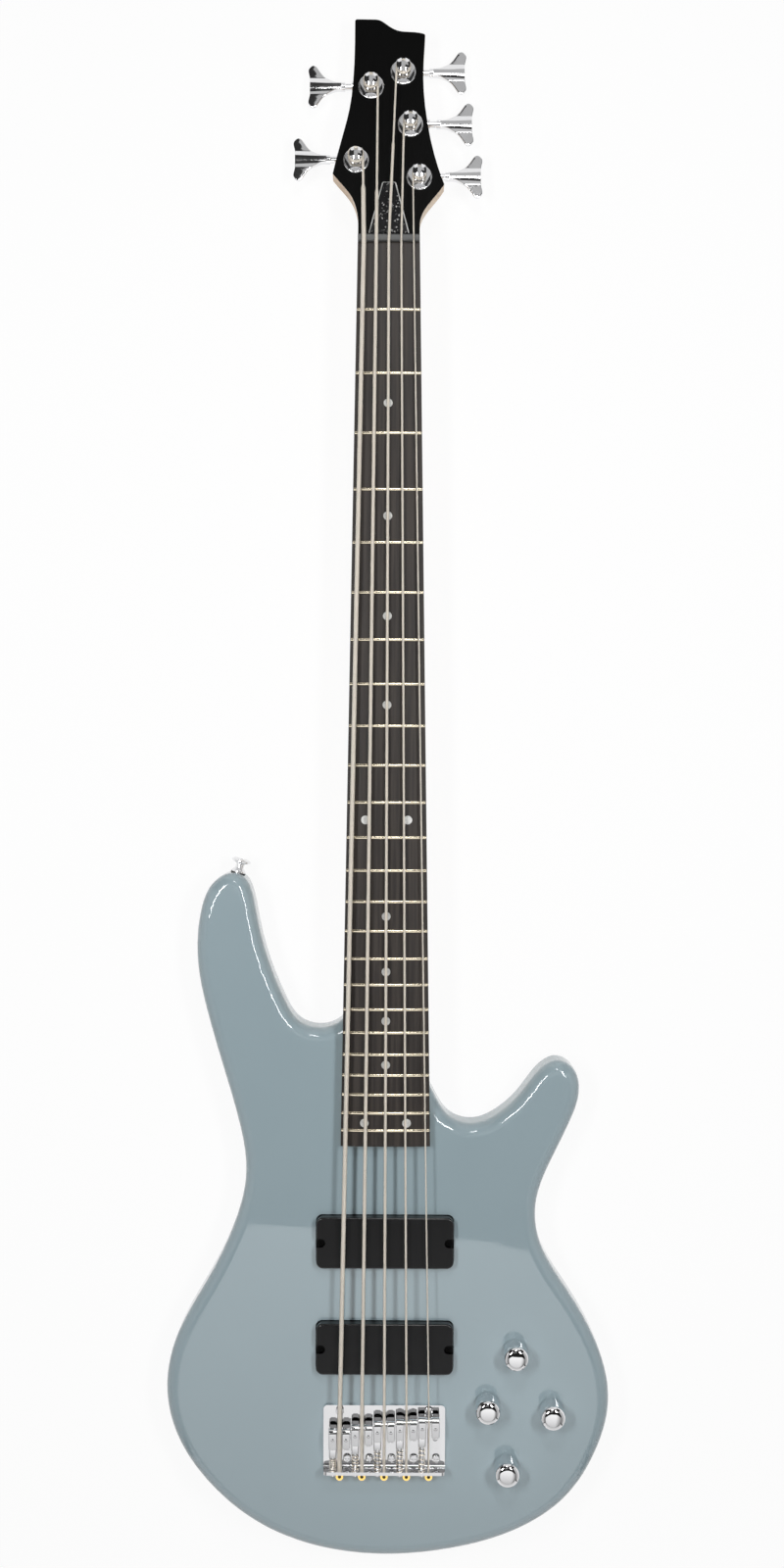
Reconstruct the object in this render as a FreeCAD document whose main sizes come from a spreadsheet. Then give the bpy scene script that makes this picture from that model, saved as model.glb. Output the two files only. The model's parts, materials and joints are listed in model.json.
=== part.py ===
import FreeCAD
import Part
import Sketcher
import math
import os

# Electric bass guitar, lying on its back.
# +Y runs from the bridge to the headstock, +X to the treble side, +Z out of the front.
# The origin is on the centre line, on the flat back, under the bridge end of the scale.

SIZES = {
    # Scale, nut and fretboard
    "scale_length": 863.6,
    "nut_width": 45.0,
    "nut_depth": 5.0,
    "nut_rise": 3.4,
    "nut_edge_round": 1.0,
    "nut_slot_clearance": 0.1,
    "heel_width": 66.0,
    "board_overhang": 12.0,
    "fretboard_thickness": 6.0,
    "fretboard_radius": 305.0,
    "fret_width": 2.3,
    "fret_height": 1.1,
    "fret_tang_width": 0.6,
    "fret_tang_depth": 1.6,
    "fret_end_inset": 0.5,
    "dot_diameter": 6.4,
    "dot_depth": 2.0,
    "double_dot_spacing": 31.0,
    # Body
    "body_width": 333.0,
    "upper_reach": 200.5,
    "lower_reach": 312.0,
    "body_thickness": 38.0,
    "front_roundover": 9.5,
    "back_roundover": 9.0,
    "neck_pocket_depth": 15.5,
    "neck_pocket_clearance": 0.15,
    "wire_channel_diameter": 7.0,
    "wire_channel_step": 1.0,
    "cut_overrun": 20.0,
    # Neck and headstock
    "heel_thickness": 19.0,
    "heel_length": 92.0,
    "heel_round": 12.0,
    "neck_depth_nut": 15.0,
    "neck_depth_heel": 17.5,
    "headstock_angle": 7.0,
    "headstock_length": 165.2,
    "headstock_width": 81.4,
    "headstock_thickness": 13.0,
    "headstock_corner_round": 1.6,
    # Truss rod and its cover
    "rod_diameter": 6.0,
    "rod_depth": 6.4,
    "rod_channel_clearance": 0.1,
    "rod_heel_gap": 20.0,
    "rod_reach": 16.0,
    "rod_nut_diameter": 8.0,
    "rod_nut_length": 12.0,
    "rod_socket_diameter": 4.0,
    "rod_access_width": 12.0,
    "rod_access_length": 32.0,
    "rod_access_depth": 10.5,
    "cover_gap": 1.6,
    "cover_length": 39.4,
    "cover_wide_end": 30.3,
    "cover_narrow_end": 9.9,
    "cover_thickness": 2.2,
    "cover_corner_round": 1.5,
    "cover_bevel": 0.9,
    "cover_screw_inset": 4.5,
    # Screws shared by the covers, and the cross in every screw head
    "cross_width": 0.9,
    "cross_depth": 0.7,
    "small_screw_head": 4.6,
    "small_screw_diameter": 2.4,
    "small_screw_length": 9.0,
    "small_screw_recess": 1.0,
    # Neck fixing
    "ferrule_diameter": 14.0,
    "ferrule_depth": 4.0,
    "ferrule_recess": 0.2,
    "neck_screw_diameter": 4.5,
    "neck_screw_head": 9.0,
    "neck_screw_head_height": 2.4,
    "neck_screw_bite": 13.0,
    "screw_fit_clearance": 0.1,
    # Bridge
    "bridge_width": 90.4,
    "bridge_front": 8.6,
    "bridge_length": 48.2,
    "bridge_plate_thickness": 2.5,
    "bridge_wall_thickness": 2.4,
    "bridge_wall_height": 14.0,
    "bridge_corner_round": 3.0,
    "bridge_bend_round": 2.0,
    "bridge_groove_width": 3.6,
    "bridge_groove_length": 25.0,
    "bridge_groove_depth": 0.8,
    "bridge_groove_inset": 1.8,
    "bridge_screw_diameter": 3.5,
    "bridge_screw_head": 6.0,
    "bridge_screw_head_height": 2.0,
    "bridge_screw_length": 22.0,
    "bridge_front_screw_inset": 3.8,
    "bridge_front_screw_spread": 66.0,
    "bridge_rear_screw_inset": 8.6,
    "bridge_rear_screw_offset": 5.5,
    "string_hole_rise": 4.2,
    "string_hole_clearance": 0.6,
    "string_end_gap": 0.6,
    # Saddles and intonation screws
    "string_rise_bridge": 5.0,
    "saddle_column_width": 6.0,
    "saddle_spread": 9.8,
    "saddle_front": 3.6,
    "saddle_back": 12.0,
    "saddle_height": 9.0,
    "saddle_column_rise": 1.2,
    "saddle_column_fall": 0.8,
    "saddle_edge_round": 0.6,
    "saddle_shoulder_round": 1.0,
    "saddle_tongue_round": 2.2,
    "saddle_crest_radius": 2.8,
    "saddle_crest_sink": 0.3,
    "saddle_bar_back": 5.0,
    "saddle_tail_drop": 2.4,
    "saddle_inner_wall": 0.4,
    "saddle_tube_diameter": 5.4,
    "saddle_tube_length": 7.5,
    "height_screw_diameter": 3.0,
    "height_screw_station": 3.7,
    "height_screw_recess": 0.8,
    "height_socket": 1.5,
    "intonation_offset": 5.0,
    "intonation_rise": 5.6,
    "intonation_screw_diameter": 3.0,
    "intonation_screw_tip": 9.2,
    "intonation_head_diameter": 4.4,
    "intonation_head_height": 2.4,
    "intonation_running_clearance": 0.08,
    "spring_wire": 0.6,
    "spring_diameter": 5.2,
    "spring_end_gap": 0.05,
    # Ball ends
    "ball_diameter": 5.5,
    "ball_hole": 2.6,
    "ball_height": 5.2,
    "ball_gap": 0.2,
    # Strings
    "string_b_diameter": 3.3,
    "string_e_diameter": 2.67,
    "string_a_diameter": 2.16,
    "string_d_diameter": 1.65,
    "string_g_diameter": 1.14,
    "string_b_tail_diameter": 1.9,
    "string_e_tail_diameter": 1.7,
    "string_a_tail_diameter": 1.5,
    "string_d_tail_diameter": 1.3,
    "string_g_tail_diameter": 1.1,
    "string_spacing_nut": 9.0,
    "string_spacing_bridge": 16.5,
    "string_rise_nut": 1.7,
    "string_step_length": 3.0,
    "winding_gap": 0.5,
    "winding_post_gap": 0.1,
    # Tuners
    "post_diameter": 10.0,
    "post_waist_diameter": 8.0,
    "post_height": 14.0,
    "post_waist_bottom": 6.4,
    "post_waist_top": 12.4,
    "post_slot_width": 2.8,
    "post_slot_depth": 4.0,
    "post_running_clearance": 0.08,
    "bushing_wall": 1.3,
    "bushing_hex": 14.4,
    "bushing_hex_height": 4.6,
    "washer_diameter": 19.0,
    "washer_thickness": 1.0,
    "housing_width": 17.0,
    "housing_length": 28.0,
    "housing_depth": 11.0,
    "housing_below_post": 9.5,
    "housing_wall": 1.5,
    "housing_round": 3.0,
    "housing_foot_length": 7.0,
    "housing_foot_thickness": 2.5,
    "gear_diameter": 12.2,
    "gear_thickness": 4.0,
    "worm_offset": 8.7,
    "worm_drop": 5.6,
    "worm_diameter": 4.4,
    "worm_length": 9.0,
    "key_shaft_diameter": 5.0,
    "key_running_clearance": 0.08,
    "key_collar_diameter": 6.8,
    "key_bearing_length": 6.0,
    "key_collar_length": 2.9,
    "key_reach": 47.0,
    "key_button_length": 24.5,
    "key_span": 32.6,
    "key_thickness": 5.6,
    "key_ridge_width": 12.0,
    "key_wing_thickness": 2.6,
    "key_edge_round": 0.8,
    "tuner_screw_diameter": 2.4,
    "tuner_screw_length": 9.0,
    "tuner_screw_head": 4.6,
    "tuner_screw_head_height": 1.6,
    # Pickups
    "pickup_length": 101.6,
    "pickup_width": 38.1,
    "pickup_height": 18.0,
    "pickup_rise": 8.0,
    "pickup_wall": 1.8,
    "pickup_corner_round": 5.0,
    "pickup_edge_round": 1.4,
    "pickup_screw_spread": 94.4,
    "pickup_notch_diameter": 6.4,
    "pickup_notch_depth": 5.0,
    "pickup_screw_diameter": 3.0,
    "pickup_screw_head": 5.6,
    "pickup_screw_head_height": 2.4,
    "pickup_screw_length": 30.0,
    "pickup_rout_clearance": 0.5,
    "pickup_rout_depth": 20.0,
    "coil_length": 78.0,
    "coil_width": 14.0,
    "coil_height": 10.0,
    "coil_spacing": 16.0,
    "magnet_width": 4.0,
    "foam_length": 88.0,
    "foam_width": 30.0,
    # Controls
    "knob_diameter": 18.0,
    "knob_height": 19.0,
    "knob_dome": 3.6,
    "knob_gap": 1.0,
    "knob_edge_round": 0.8,
    "knob_recess_diameter": 13.0,
    "knob_recess_depth": 3.4,
    "knob_bore_depth": 13.0,
    "pot_shaft_diameter": 6.0,
    "pot_shaft_depth": 2.0,
    "pot_running_clearance": 0.08,
    "pot_bushing_diameter": 7.0,
    "pot_can_diameter": 17.0,
    "pot_can_depth": 9.0,
    "pot_nut_size": 10.0,
    "pot_nut_height": 2.2,
    "pot_thread_rise": 1.0,
    "top_wall": 7.0,
    "control_cover_thickness": 2.4,
    "control_cover_lip": 6.0,
    "control_cover_clearance": 0.3,
    "cavity_corner_round": 26.0,
    # Output jack
    "jack_angle": 35.0,
    "jack_bore": 6.5,
    "jack_barrel_diameter": 9.4,
    "jack_barrel_length": 26.0,
    "jack_nut_size": 13.0,
    "jack_nut_height": 2.6,
    "jack_flange_diameter": 15.0,
    "jack_flange_thickness": 2.0,
    "jack_recess_diameter": 22.0,
    "jack_recess_depth": 6.0,
    # Strap button
    "strap_angle": 15.6,
    "strap_head_diameter": 13.8,
    "strap_height": 10.0,
    "felt_thickness": 1.5,
    "felt_diameter": 11.0,
    "strap_screw_diameter": 3.5,
    "strap_screw_head": 6.6,
    "strap_screw_head_height": 1.8,
    "strap_screw_length": 30.0,
    # Wiring
    "cable_diameter": 3.0,
}

doc = FreeCAD.newDocument("electric_bass")
sheet = doc.addObject("Spreadsheet::Sheet", "Sizes")
for row, (alias, number) in enumerate(SIZES.items(), 1):
    sheet.set(f"A{row}", alias)
    sheet.set(f"B{row}", str(number))
    sheet.setAlias(f"B{row}", alias)
doc.recompute()

V = FreeCAD.Vector
Turn = FreeCAD.Rotation


class Size:
    """A size that knows its value and the expression that gives it."""

    def __init__(self, value, text):
        self.value = value
        self.text = text

    def __add__(self, other):
        other = as_size(other)
        return Size(self.value + other.value, f"({self.text} + {other.text})")

    def __sub__(self, other):
        other = as_size(other)
        return Size(self.value - other.value, f"({self.text} - {other.text})")

    def __mul__(self, other):
        other = as_size(other)
        return Size(self.value * other.value, f"({self.text} * {other.text})")

    def __truediv__(self, other):
        other = as_size(other)
        return Size(self.value / other.value, f"({self.text} / {other.text})")

    def __neg__(self):
        return Size(-self.value, f"(0 - {self.text})")


def as_size(number):
    return number if isinstance(number, Size) else Size(float(number), f"({float(number):.6f})")


class SheetSizes:
    """Every cell of the sheet, by its alias."""

    def __init__(self):
        for name in SIZES:
            setattr(self, name, Size(float(sheet.get(name)), f"Sizes.{name}"))


s = SheetSizes()
nodes = []


def node(item, label):
    item.Label = label
    nodes.append(item)
    return item


def bind(item, path, size):
    item.setExpression(path, as_size(size).text)


ALONG_Y = Turn(V(1, 0, 0), -90)
ALONG_X = Turn(V(0, 1, 0), 90)
AGAINST_X = Turn(V(0, 1, 0), -90)
UPSIDE_DOWN = Turn(V(1, 0, 0), 180)


def put(item, x=0, y=0, z=0, turn=Turn()):
    """Places an object, with its position bound to the sheet."""
    base = V(as_size(x).value, as_size(y).value, as_size(z).value)
    item.Placement = FreeCAD.Placement(base, turn)
    for axis, size in zip("xyz", (x, y, z)):
        bind(item, f"Placement.Base.{axis}", size)
    return item


def cylinder(radius, height, name="round_bar"):
    item = doc.addObject("Part::Cylinder", name)
    bind(item, "Radius", radius)
    bind(item, "Height", height)
    return item


def box(length, width, height, name="block"):
    item = doc.addObject("Part::Box", name)
    bind(item, "Length", length)
    bind(item, "Width", width)
    bind(item, "Height", height)
    return item


def hexagon(across_flats, height, name="hexagon"):
    item = doc.addObject("Part::Prism", name)
    item.Polygon = 6
    bind(item, "Circumradius", across_flats / math.sqrt(3))
    bind(item, "Height", height)
    return item


def compound(items, name="group"):
    item = doc.addObject("Part::Compound", name)
    item.Links = list(items)
    return item


def cut(base, *tools, name="cut"):
    item = doc.addObject("Part::Cut", name)
    item.Base = base
    item.Tool = tools[0] if len(tools) == 1 else compound(tools)
    return item


def fuse(*items, name="joined"):
    item = doc.addObject("Part::MultiFuse", name)
    item.Shapes = list(items)
    return item


def common(base, tool, name="shared"):
    item = doc.addObject("Part::Common", name)
    item.Base = base
    item.Tool = tool
    return item


def round_edges(base, radius, wanted, name="rounded"):
    """Rounds the edges of a Part object for which wanted(edge) is true."""
    doc.recompute()
    item = doc.addObject("Part::Fillet", name)
    item.Base = base
    picked = [number for number, edge in enumerate(base.Shape.Edges, 1) if wanted(edge)]
    item.Edges = [(number, radius.value, radius.value) for number in picked]
    return item


def design_body(name):
    return doc.addObject("PartDesign::Body", name)


def new_sketch(owner, name, role="XY_Plane", lift=0):
    sketch = owner.newObject("Sketcher::SketchObject", name)
    plane = next(item for item in owner.Origin.OriginFeatures if item.Role == role)
    sketch.AttachmentSupport = [(plane, "")]
    sketch.MapMode = "FlatFace"
    bind(sketch, "AttachmentOffset.Base.z", lift)
    return sketch


def hold(sketch, constraint, size):
    number = sketch.addConstraint(constraint)
    sketch.setExpression(f"Constraints[{number}]", as_size(size).text)


def pin(sketch, shape, corner, x, y):
    """Fixes one point of a sketch shape at x, y."""
    x, y = as_size(x), as_size(y)
    hold(sketch, Sketcher.Constraint("DistanceX", -1, 1, shape, corner, x.value), x)
    hold(sketch, Sketcher.Constraint("DistanceY", -1, 1, shape, corner, y.value), y)


def draw_polygon(sketch, points):
    corners = [V(as_size(x).value, as_size(y).value, 0) for x, y in points]
    sides = []
    for start, end in zip(corners, corners[1:] + corners[:1]):
        sides.append(sketch.addGeometry(Part.LineSegment(start, end), False))
    for side, following in zip(sides, sides[1:] + sides[:1]):
        sketch.addConstraint(Sketcher.Constraint("Coincident", side, 2, following, 1))
    for side, (x, y) in zip(sides, points):
        pin(sketch, side, 1, x, y)


def draw_circle(sketch, x, y, radius):
    centre = V(as_size(x).value, as_size(y).value, 0)
    ring = sketch.addGeometry(Part.Circle(centre, V(0, 0, 1), radius.value), False)
    hold(sketch, Sketcher.Constraint("Radius", ring, radius.value), radius)
    pin(sketch, ring, 3, x, y)


def draw_rounded_box(sketch, x, y, length, width, radius):
    """A rectangle with round corners, centred at x, y."""
    x, y = as_size(x), as_size(y)
    half_x, half_y, r = length.value / 2, width.value / 2, radius.value
    arcs = []
    for turn, (sx, sy) in enumerate(((1, 1), (-1, 1), (-1, -1), (1, -1))):
        centre = V(x.value + sx * (half_x - r), y.value + sy * (half_y - r), 0)
        ring = Part.Circle(centre, V(0, 0, 1), r)
        quarter = Part.ArcOfCircle(ring, turn * math.pi / 2, (turn + 1) * math.pi / 2)
        arcs.append(sketch.addGeometry(quarter, False))
        signs = (as_size(sx), as_size(sy))
        pin(sketch, arcs[-1], 3, x + signs[0] * (length / 2 - radius), y + signs[1] * (width / 2 - radius))
        hold(sketch, Sketcher.Constraint("Radius", arcs[-1], r), radius)
    for arc, following in zip(arcs, arcs[1:] + arcs[:1]):
        start = sketch.getPoint(arc, 2)
        end = sketch.getPoint(following, 1)
        side = sketch.addGeometry(Part.LineSegment(start, end), False)
        sketch.addConstraint(Sketcher.Constraint("Tangent", arc, 2, side, 1))
        sketch.addConstraint(Sketcher.Constraint("Tangent", side, 2, following, 1))


def pad(owner, sketch, length, name="pad", symmetric=False, downward=False):
    feature = owner.newObject("PartDesign::Pad", name)
    feature.Profile = sketch
    feature.SideType = "Symmetric" if symmetric else "One side"
    feature.Reversed = downward
    bind(feature, "Length", length)
    return feature


def pocket(owner, sketch, depth, name="pocket", upward=False):
    feature = owner.newObject("PartDesign::Pocket", name)
    feature.Profile = sketch
    feature.Reversed = upward
    bind(feature, "Length", depth)
    return feature


def fillet(owner, base, wanted, radius, name="roundover"):
    """Rounds the edges of a body feature for which wanted(edge) is true."""
    doc.recompute()
    feature = owner.newObject("PartDesign::Fillet", name)
    names = [f"Edge{number}" for number, edge in enumerate(base.Shape.Edges, 1) if wanted(edge)]
    feature.Base = (base, names)
    bind(feature, "Radius", radius)
    return feature


CLOSE = 1e-4


def edge_at_height(height):
    """True for an edge that lies flat at that height."""
    level = as_size(height).value
    return lambda edge: abs(edge.BoundBox.ZMin - level) < CLOSE and abs(edge.BoundBox.ZMax - level) < CLOSE


def upright(edge):
    box_of_edge = edge.BoundBox
    return box_of_edge.XLength < CLOSE and box_of_edge.YLength < CLOSE


# Levels and stations shared by the pieces
body_top = s.body_thickness
pocket_floor = body_top - s.neck_pocket_depth
neck_top = pocket_floor + s.heel_thickness
crown = neck_top + s.fretboard_thickness
heel_end = s.scale_length / 4 - s.board_overhang
head_start = s.scale_length + s.nut_depth
half_pi = math.pi / 2

STRING_NAMES = ("b", "e", "a", "d", "g")
STRING_STEPS = (-2, -1, 0, 1, 2)


def board_width(y):
    """Width of the fretboard and neck at a station along the neck."""
    taper = (s.heel_width - s.nut_width) / (s.scale_length - heel_end)
    return s.nut_width + (s.scale_length - y) * taper


def fret_station(number):
    return s.scale_length * 2 ** (-number / 12)


def on_body(x_share, y_share):
    """A place on the body: across by its width, along by its reach above or below the heel."""
    reach = s.upper_reach if y_share > 0 else s.lower_reach
    return s.body_width * x_share, heel_end + reach * y_share


# Headstock frame: u across, v along the face from the nut, w out of the face
tilt = Turn(V(1, 0, 0), -s.headstock_angle.value)
head_base = V(0, head_start.value, neck_top.value)
head_frame = FreeCAD.Placement(head_base, tilt)


def on_head(u, v, w=0.0):
    """World point of a place on the headstock."""
    return head_frame.multVec(V(u, v, w))


# Body outline: shares of the width, and of the reach above (+) or below (-) the heel's end
OUTLINE_SHARES = (
    (-0.093, 0.464), (-0.152, 0.424), (-0.192, 0.446), (-0.227, 0.530), (-0.262, 0.672),
    (-0.285, 0.816), (-0.299, 0.927), (-0.3155, 0.980), (-0.3420, 0.998), (-0.3695, 0.984),
    (-0.395, 0.942), (-0.412, 0.869), (-0.421, 0.763), (-0.419, 0.649), (-0.399, 0.485),
    (-0.363, 0.276), (-0.325, 0.053), (-0.312, -0.074), (-0.335, -0.190), (-0.402, -0.342),
    (-0.469, -0.478), (-0.489, -0.600), (-0.465, -0.713), (-0.392, -0.829), (-0.275, -0.929),
    (-0.123, -0.987), (0.009, -1.000), (0.141, -0.987), (0.288, -0.943), (0.407, -0.860),
    (0.477, -0.743), (0.504, -0.622), (0.482, -0.502), (0.412, -0.362), (0.344, -0.230),
    (0.338, -0.147), (0.374, -0.037), (0.414, 0.083), (0.433, 0.195), (0.418, 0.278),
    (0.384, 0.305), (0.351, 0.281), (0.305, 0.189), (0.252, 0.105), (0.194, 0.068),
    (0.138, 0.102), (0.108, 0.180), (0.080, 0.265), (0.048, 0.395), (-0.012, 0.470),
)
FERRULE_SHARES = ((-0.057, 0.365), (0.030, 0.255), (-0.057, 0.095), (0.057, 0.095))
KNOB_SHARES = ((0.2916, -0.4979), (0.2297, -0.6259), (0.3733, -0.6391), (0.2730, -0.7752))
CAVITY_CENTRE_SHARES = (0.2950, -0.628)
CAVITY_SIZE_SHARES = (0.238, 0.356)
CONTROL_SCREW_SHARES = ((-0.5, 0.30), (0.0, 0.5), (0.5, 0.12), (-0.5, -0.30), (0.0, -0.5))
JACK_SHARES = (0.4276, -0.8006)
PICKUP_SHARES = (0.645, 0.256)
WIRE_STATION_SHARE = 0.2
LEAD_SHARE = 0.3
pickup_stations = [heel_end * share for share in PICKUP_SHARES]
knob_places = [on_body(*shares) for shares in KNOB_SHARES]
ferrule_places = [on_body(*shares) for shares in FERRULE_SHARES]
cavity_x, cavity_y = on_body(*CAVITY_CENTRE_SHARES)
cavity_width = s.body_width * CAVITY_SIZE_SHARES[0]
cavity_length = s.lower_reach * CAVITY_SIZE_SHARES[1]
cavity_depth = body_top - s.top_wall

# Bridge stations, measured along Y from the scale's end
bridge_rear = s.bridge_front - s.bridge_length
wall_inner = bridge_rear + s.bridge_wall_thickness
plate_top = body_top + s.bridge_plate_thickness
CREST_SHARES = (-0.0100, -0.0066, -0.0034, -0.0018, -0.0002)
crest_stations = [s.scale_length * share for share in CREST_SHARES]
crest_height = crown + s.string_rise_bridge
screw_axis_height = plate_top + s.intonation_rise
string_hole_height = plate_top + s.string_hole_rise
string_start = bridge_rear - s.ball_gap + s.string_end_gap
string_x_bridge = [s.string_spacing_bridge * step for step in STRING_STEPS]
string_x_nut = [s.string_spacing_nut * step for step in STRING_STEPS]
bridge_front_screws = [(s.bridge_front_screw_spread * half, s.bridge_front - s.bridge_front_screw_inset)
                       for half in (-0.5, 0.5)]
bridge_rear_screws = [(x + s.bridge_rear_screw_offset, bridge_rear + s.bridge_rear_screw_inset)
                      for x in string_x_bridge]
bridge_screw_places = bridge_front_screws + bridge_rear_screws


def make_body():
    owner = design_body("body_block")
    outline = new_sketch(owner, "body_outline")
    points = [on_body(*shares) for shares in OUTLINE_SHARES]
    curve = Part.BSplineCurve()
    curve.interpolate(Points=[V(x.value, y.value, 0) for x, y in points], PeriodicFlag=True)
    outline.addGeometry(curve, False)
    slab = pad(owner, outline, s.body_thickness, "body_slab")
    front = fillet(owner, slab, edge_at_height(body_top), s.front_roundover, "front_roundover")
    fillet(owner, front, edge_at_height(0), s.back_roundover, "back_roundover")

    gap = s.neck_pocket_clearance
    far = heel_end + s.upper_reach
    near_half = board_width(heel_end) / 2 + gap
    far_half = board_width(far) / 2 + gap
    near = heel_end - gap
    seat = new_sketch(owner, "neck_seat", lift=body_top)
    draw_polygon(seat, [(-near_half, near), (near_half, near), (far_half, far), (-far_half, far)])
    pocket(owner, seat, s.neck_pocket_depth, "neck_pocket")

    routs = new_sketch(owner, "pickup_routs", lift=body_top)
    for station in pickup_stations:
        draw_rounded_box(routs, 0, station, s.pickup_length + s.pickup_rout_clearance * 2,
                         s.pickup_width + s.pickup_rout_clearance * 2, s.pickup_corner_round)
    pocket(owner, routs, s.pickup_rout_depth, "pickup_rout")

    cavity = new_sketch(owner, "control_cavity")
    draw_rounded_box(cavity, cavity_x, cavity_y, cavity_width, cavity_length, s.cavity_corner_round)
    pocket(owner, cavity, cavity_depth, "control_pocket", upward=True)
    ledge = new_sketch(owner, "control_ledge")
    lip = s.control_cover_lip + s.control_cover_clearance
    draw_rounded_box(ledge, cavity_x, cavity_y, cavity_width + lip * 2, cavity_length + lip * 2,
                     s.cavity_corner_round + lip)
    pocket(owner, ledge, s.control_cover_thickness + s.control_cover_clearance, "cover_ledge", upward=True)

    holes = new_sketch(owner, "pot_holes")
    for x, y in knob_places:
        draw_circle(holes, x, y, s.pot_bushing_diameter / 2 + s.screw_fit_clearance)
    pocket(owner, holes, body_top + s.cut_overrun, "pot_hole", upward=True)

    cups = new_sketch(owner, "ferrule_seats")
    for x, y in ferrule_places:
        draw_circle(cups, x, y, s.ferrule_diameter / 2 + s.screw_fit_clearance)
    pocket(owner, cups, s.ferrule_depth, "ferrule_seat", upward=True)
    bolts = new_sketch(owner, "neck_bolt_holes")
    for x, y in ferrule_places:
        draw_circle(bolts, x, y, s.neck_screw_diameter / 2 + s.screw_fit_clearance)
    pocket(owner, bolts, body_top, "neck_bolt_hole", upward=True)

    pilots = new_sketch(owner, "bridge_pilots", lift=body_top)
    for x, y in bridge_screw_places:
        draw_circle(pilots, x, y, s.bridge_screw_diameter / 2 + s.screw_fit_clearance)
    pocket(owner, pilots, s.bridge_screw_length + s.screw_fit_clearance, "bridge_pilot")

    pickup_pilots = new_sketch(owner, "pickup_pilots", lift=body_top)
    for station in pickup_stations:
        for half in (-0.5, 0.5):
            draw_circle(pickup_pilots, s.pickup_screw_spread * half, station,
                        s.pickup_screw_diameter / 2 + s.screw_fit_clearance)
    pocket(owner, pickup_pilots, pickup_pilot_depth, "pickup_pilot")

    cover_pilots = new_sketch(owner, "cover_pilots")
    for x, y in control_screw_places:
        draw_circle(cover_pilots, x, y, s.small_screw_diameter / 2 + s.screw_fit_clearance)
    pocket(owner, cover_pilots, small_screw_reach + s.screw_fit_clearance, "cover_pilot", upward=True)

    doc.recompute()
    channels = wire_channels()
    jack_hole = jack_cutter()
    strap_hole = strap_cutter()
    drilled = cut(owner, *channels, jack_hole, strap_hole, name="drilled_body")
    return node(drilled, "body")


# Pickup and small screw depths used by the body
pickup_top = body_top + s.pickup_rise
pickup_bottom = pickup_top - s.pickup_height
pickup_shelf = pickup_top - s.pickup_notch_depth
pickup_pilot_depth = body_top - (pickup_shelf - s.pickup_screw_length) + s.screw_fit_clearance
small_screw_reach = s.control_cover_clearance + s.small_screw_recess + s.small_screw_length
control_screw_places = []
for across_share, along_share in CONTROL_SCREW_SHARES:
    screw_x = cavity_x + (cavity_width + s.control_cover_lip) * across_share
    screw_y = cavity_y + (cavity_length + s.control_cover_lip) * along_share
    control_screw_places.append((screw_x, screw_y))


channel_height = body_top - s.pickup_rout_depth + s.wire_channel_diameter / 2 + s.wire_channel_step
lead_y = pickup_stations[1] - s.pickup_width * WIRE_STATION_SHARE
lead_x = s.pickup_length * LEAD_SHARE


def wire_channels():
    """Drilled ways: from the neck pickup's rout to the other, and from there to the control cavity."""
    length = pickup_stations[0] - pickup_stations[1]
    between = cylinder(s.wire_channel_diameter / 2, length, "channel_between")
    put(between, lead_x, pickup_stations[1], channel_height, ALONG_Y)
    across = cylinder(s.wire_channel_diameter / 2, cavity_x, "channel_across")
    put(across, 0, lead_y, channel_height, ALONG_X)
    return [between, across]


jack_x, jack_y = on_body(*JACK_SHARES)
jack_turn = Turn(V(0, 0, 1), -s.jack_angle.value).multiply(ALONG_X)
jack_place = FreeCAD.Placement(V(jack_x.value, jack_y.value, body_top.value / 2), jack_turn)


def jack_local(item, along):
    """Places an upright piece on the jack's axis, at a distance out from the recess floor."""
    item.Placement = jack_place.multiply(FreeCAD.Placement(V(0, 0, as_size(along).value), Turn()))
    return item


def jack_cutter():
    recess = jack_local(cylinder(s.jack_recess_diameter / 2, s.jack_recess_depth + s.cut_overrun), 0)
    bore = cylinder(s.jack_barrel_diameter / 2 + s.screw_fit_clearance, s.jack_barrel_length + s.cut_overrun)
    jack_local(bore, -s.jack_barrel_length)
    return compound([recess, bore], "jack_cutter")


# Strap button seat: at the upper horn's tip, leaning with the horn
STRAP_SHARES = (-0.3340, 0.990)
strap_x, strap_y = on_body(*STRAP_SHARES)
strap_turn = Turn(V(0, 0, 1), -s.strap_angle.value).multiply(ALONG_Y)
strap_place = FreeCAD.Placement(V(strap_x.value, strap_y.value, body_top.value / 2), strap_turn)


def strap_local(item, along):
    """Places an upright piece on the strap button's axis, at a distance out from its seat."""
    item.Placement = strap_place.multiply(FreeCAD.Placement(V(0, 0, as_size(along).value), Turn()))
    return item


def strap_cutter():
    seat = strap_local(cylinder(s.felt_diameter / 2 + s.screw_fit_clearance, s.cut_overrun), 0)
    pilot_radius = s.strap_screw_diameter / 2 + s.screw_fit_clearance
    pilot = cylinder(pilot_radius, s.strap_screw_length + s.cut_overrun)
    strap_local(pilot, -s.strap_screw_length)
    return compound([seat, pilot], "strap_cutter")


def draw_curve(sketch, points, start=None, end=None):
    """A smooth curve through points, with an optional direction at each end."""
    curve = Part.BSplineCurve()
    knots = [V(u, v, 0) for u, v in points]
    if start is None:
        curve.interpolate(Points=knots)
    else:
        curve.interpolate(Points=knots, InitialTangent=start, FinalTangent=end)
    sketch.addGeometry(curve, False)


def draw_line(sketch, start, end):
    sketch.addGeometry(Part.LineSegment(V(*start, 0), V(*end, 0)), False)


def head_sketch(owner, name, lift=0):
    """A sketch on the tilted headstock face, or at a height above it."""
    sketch = new_sketch(owner, name)
    sketch.setExpression("AttachmentOffset.Base.z", None)
    sketch.AttachmentOffset = FreeCAD.Placement(on_head(0, 0, as_size(lift).value), tilt)
    return sketch


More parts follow.
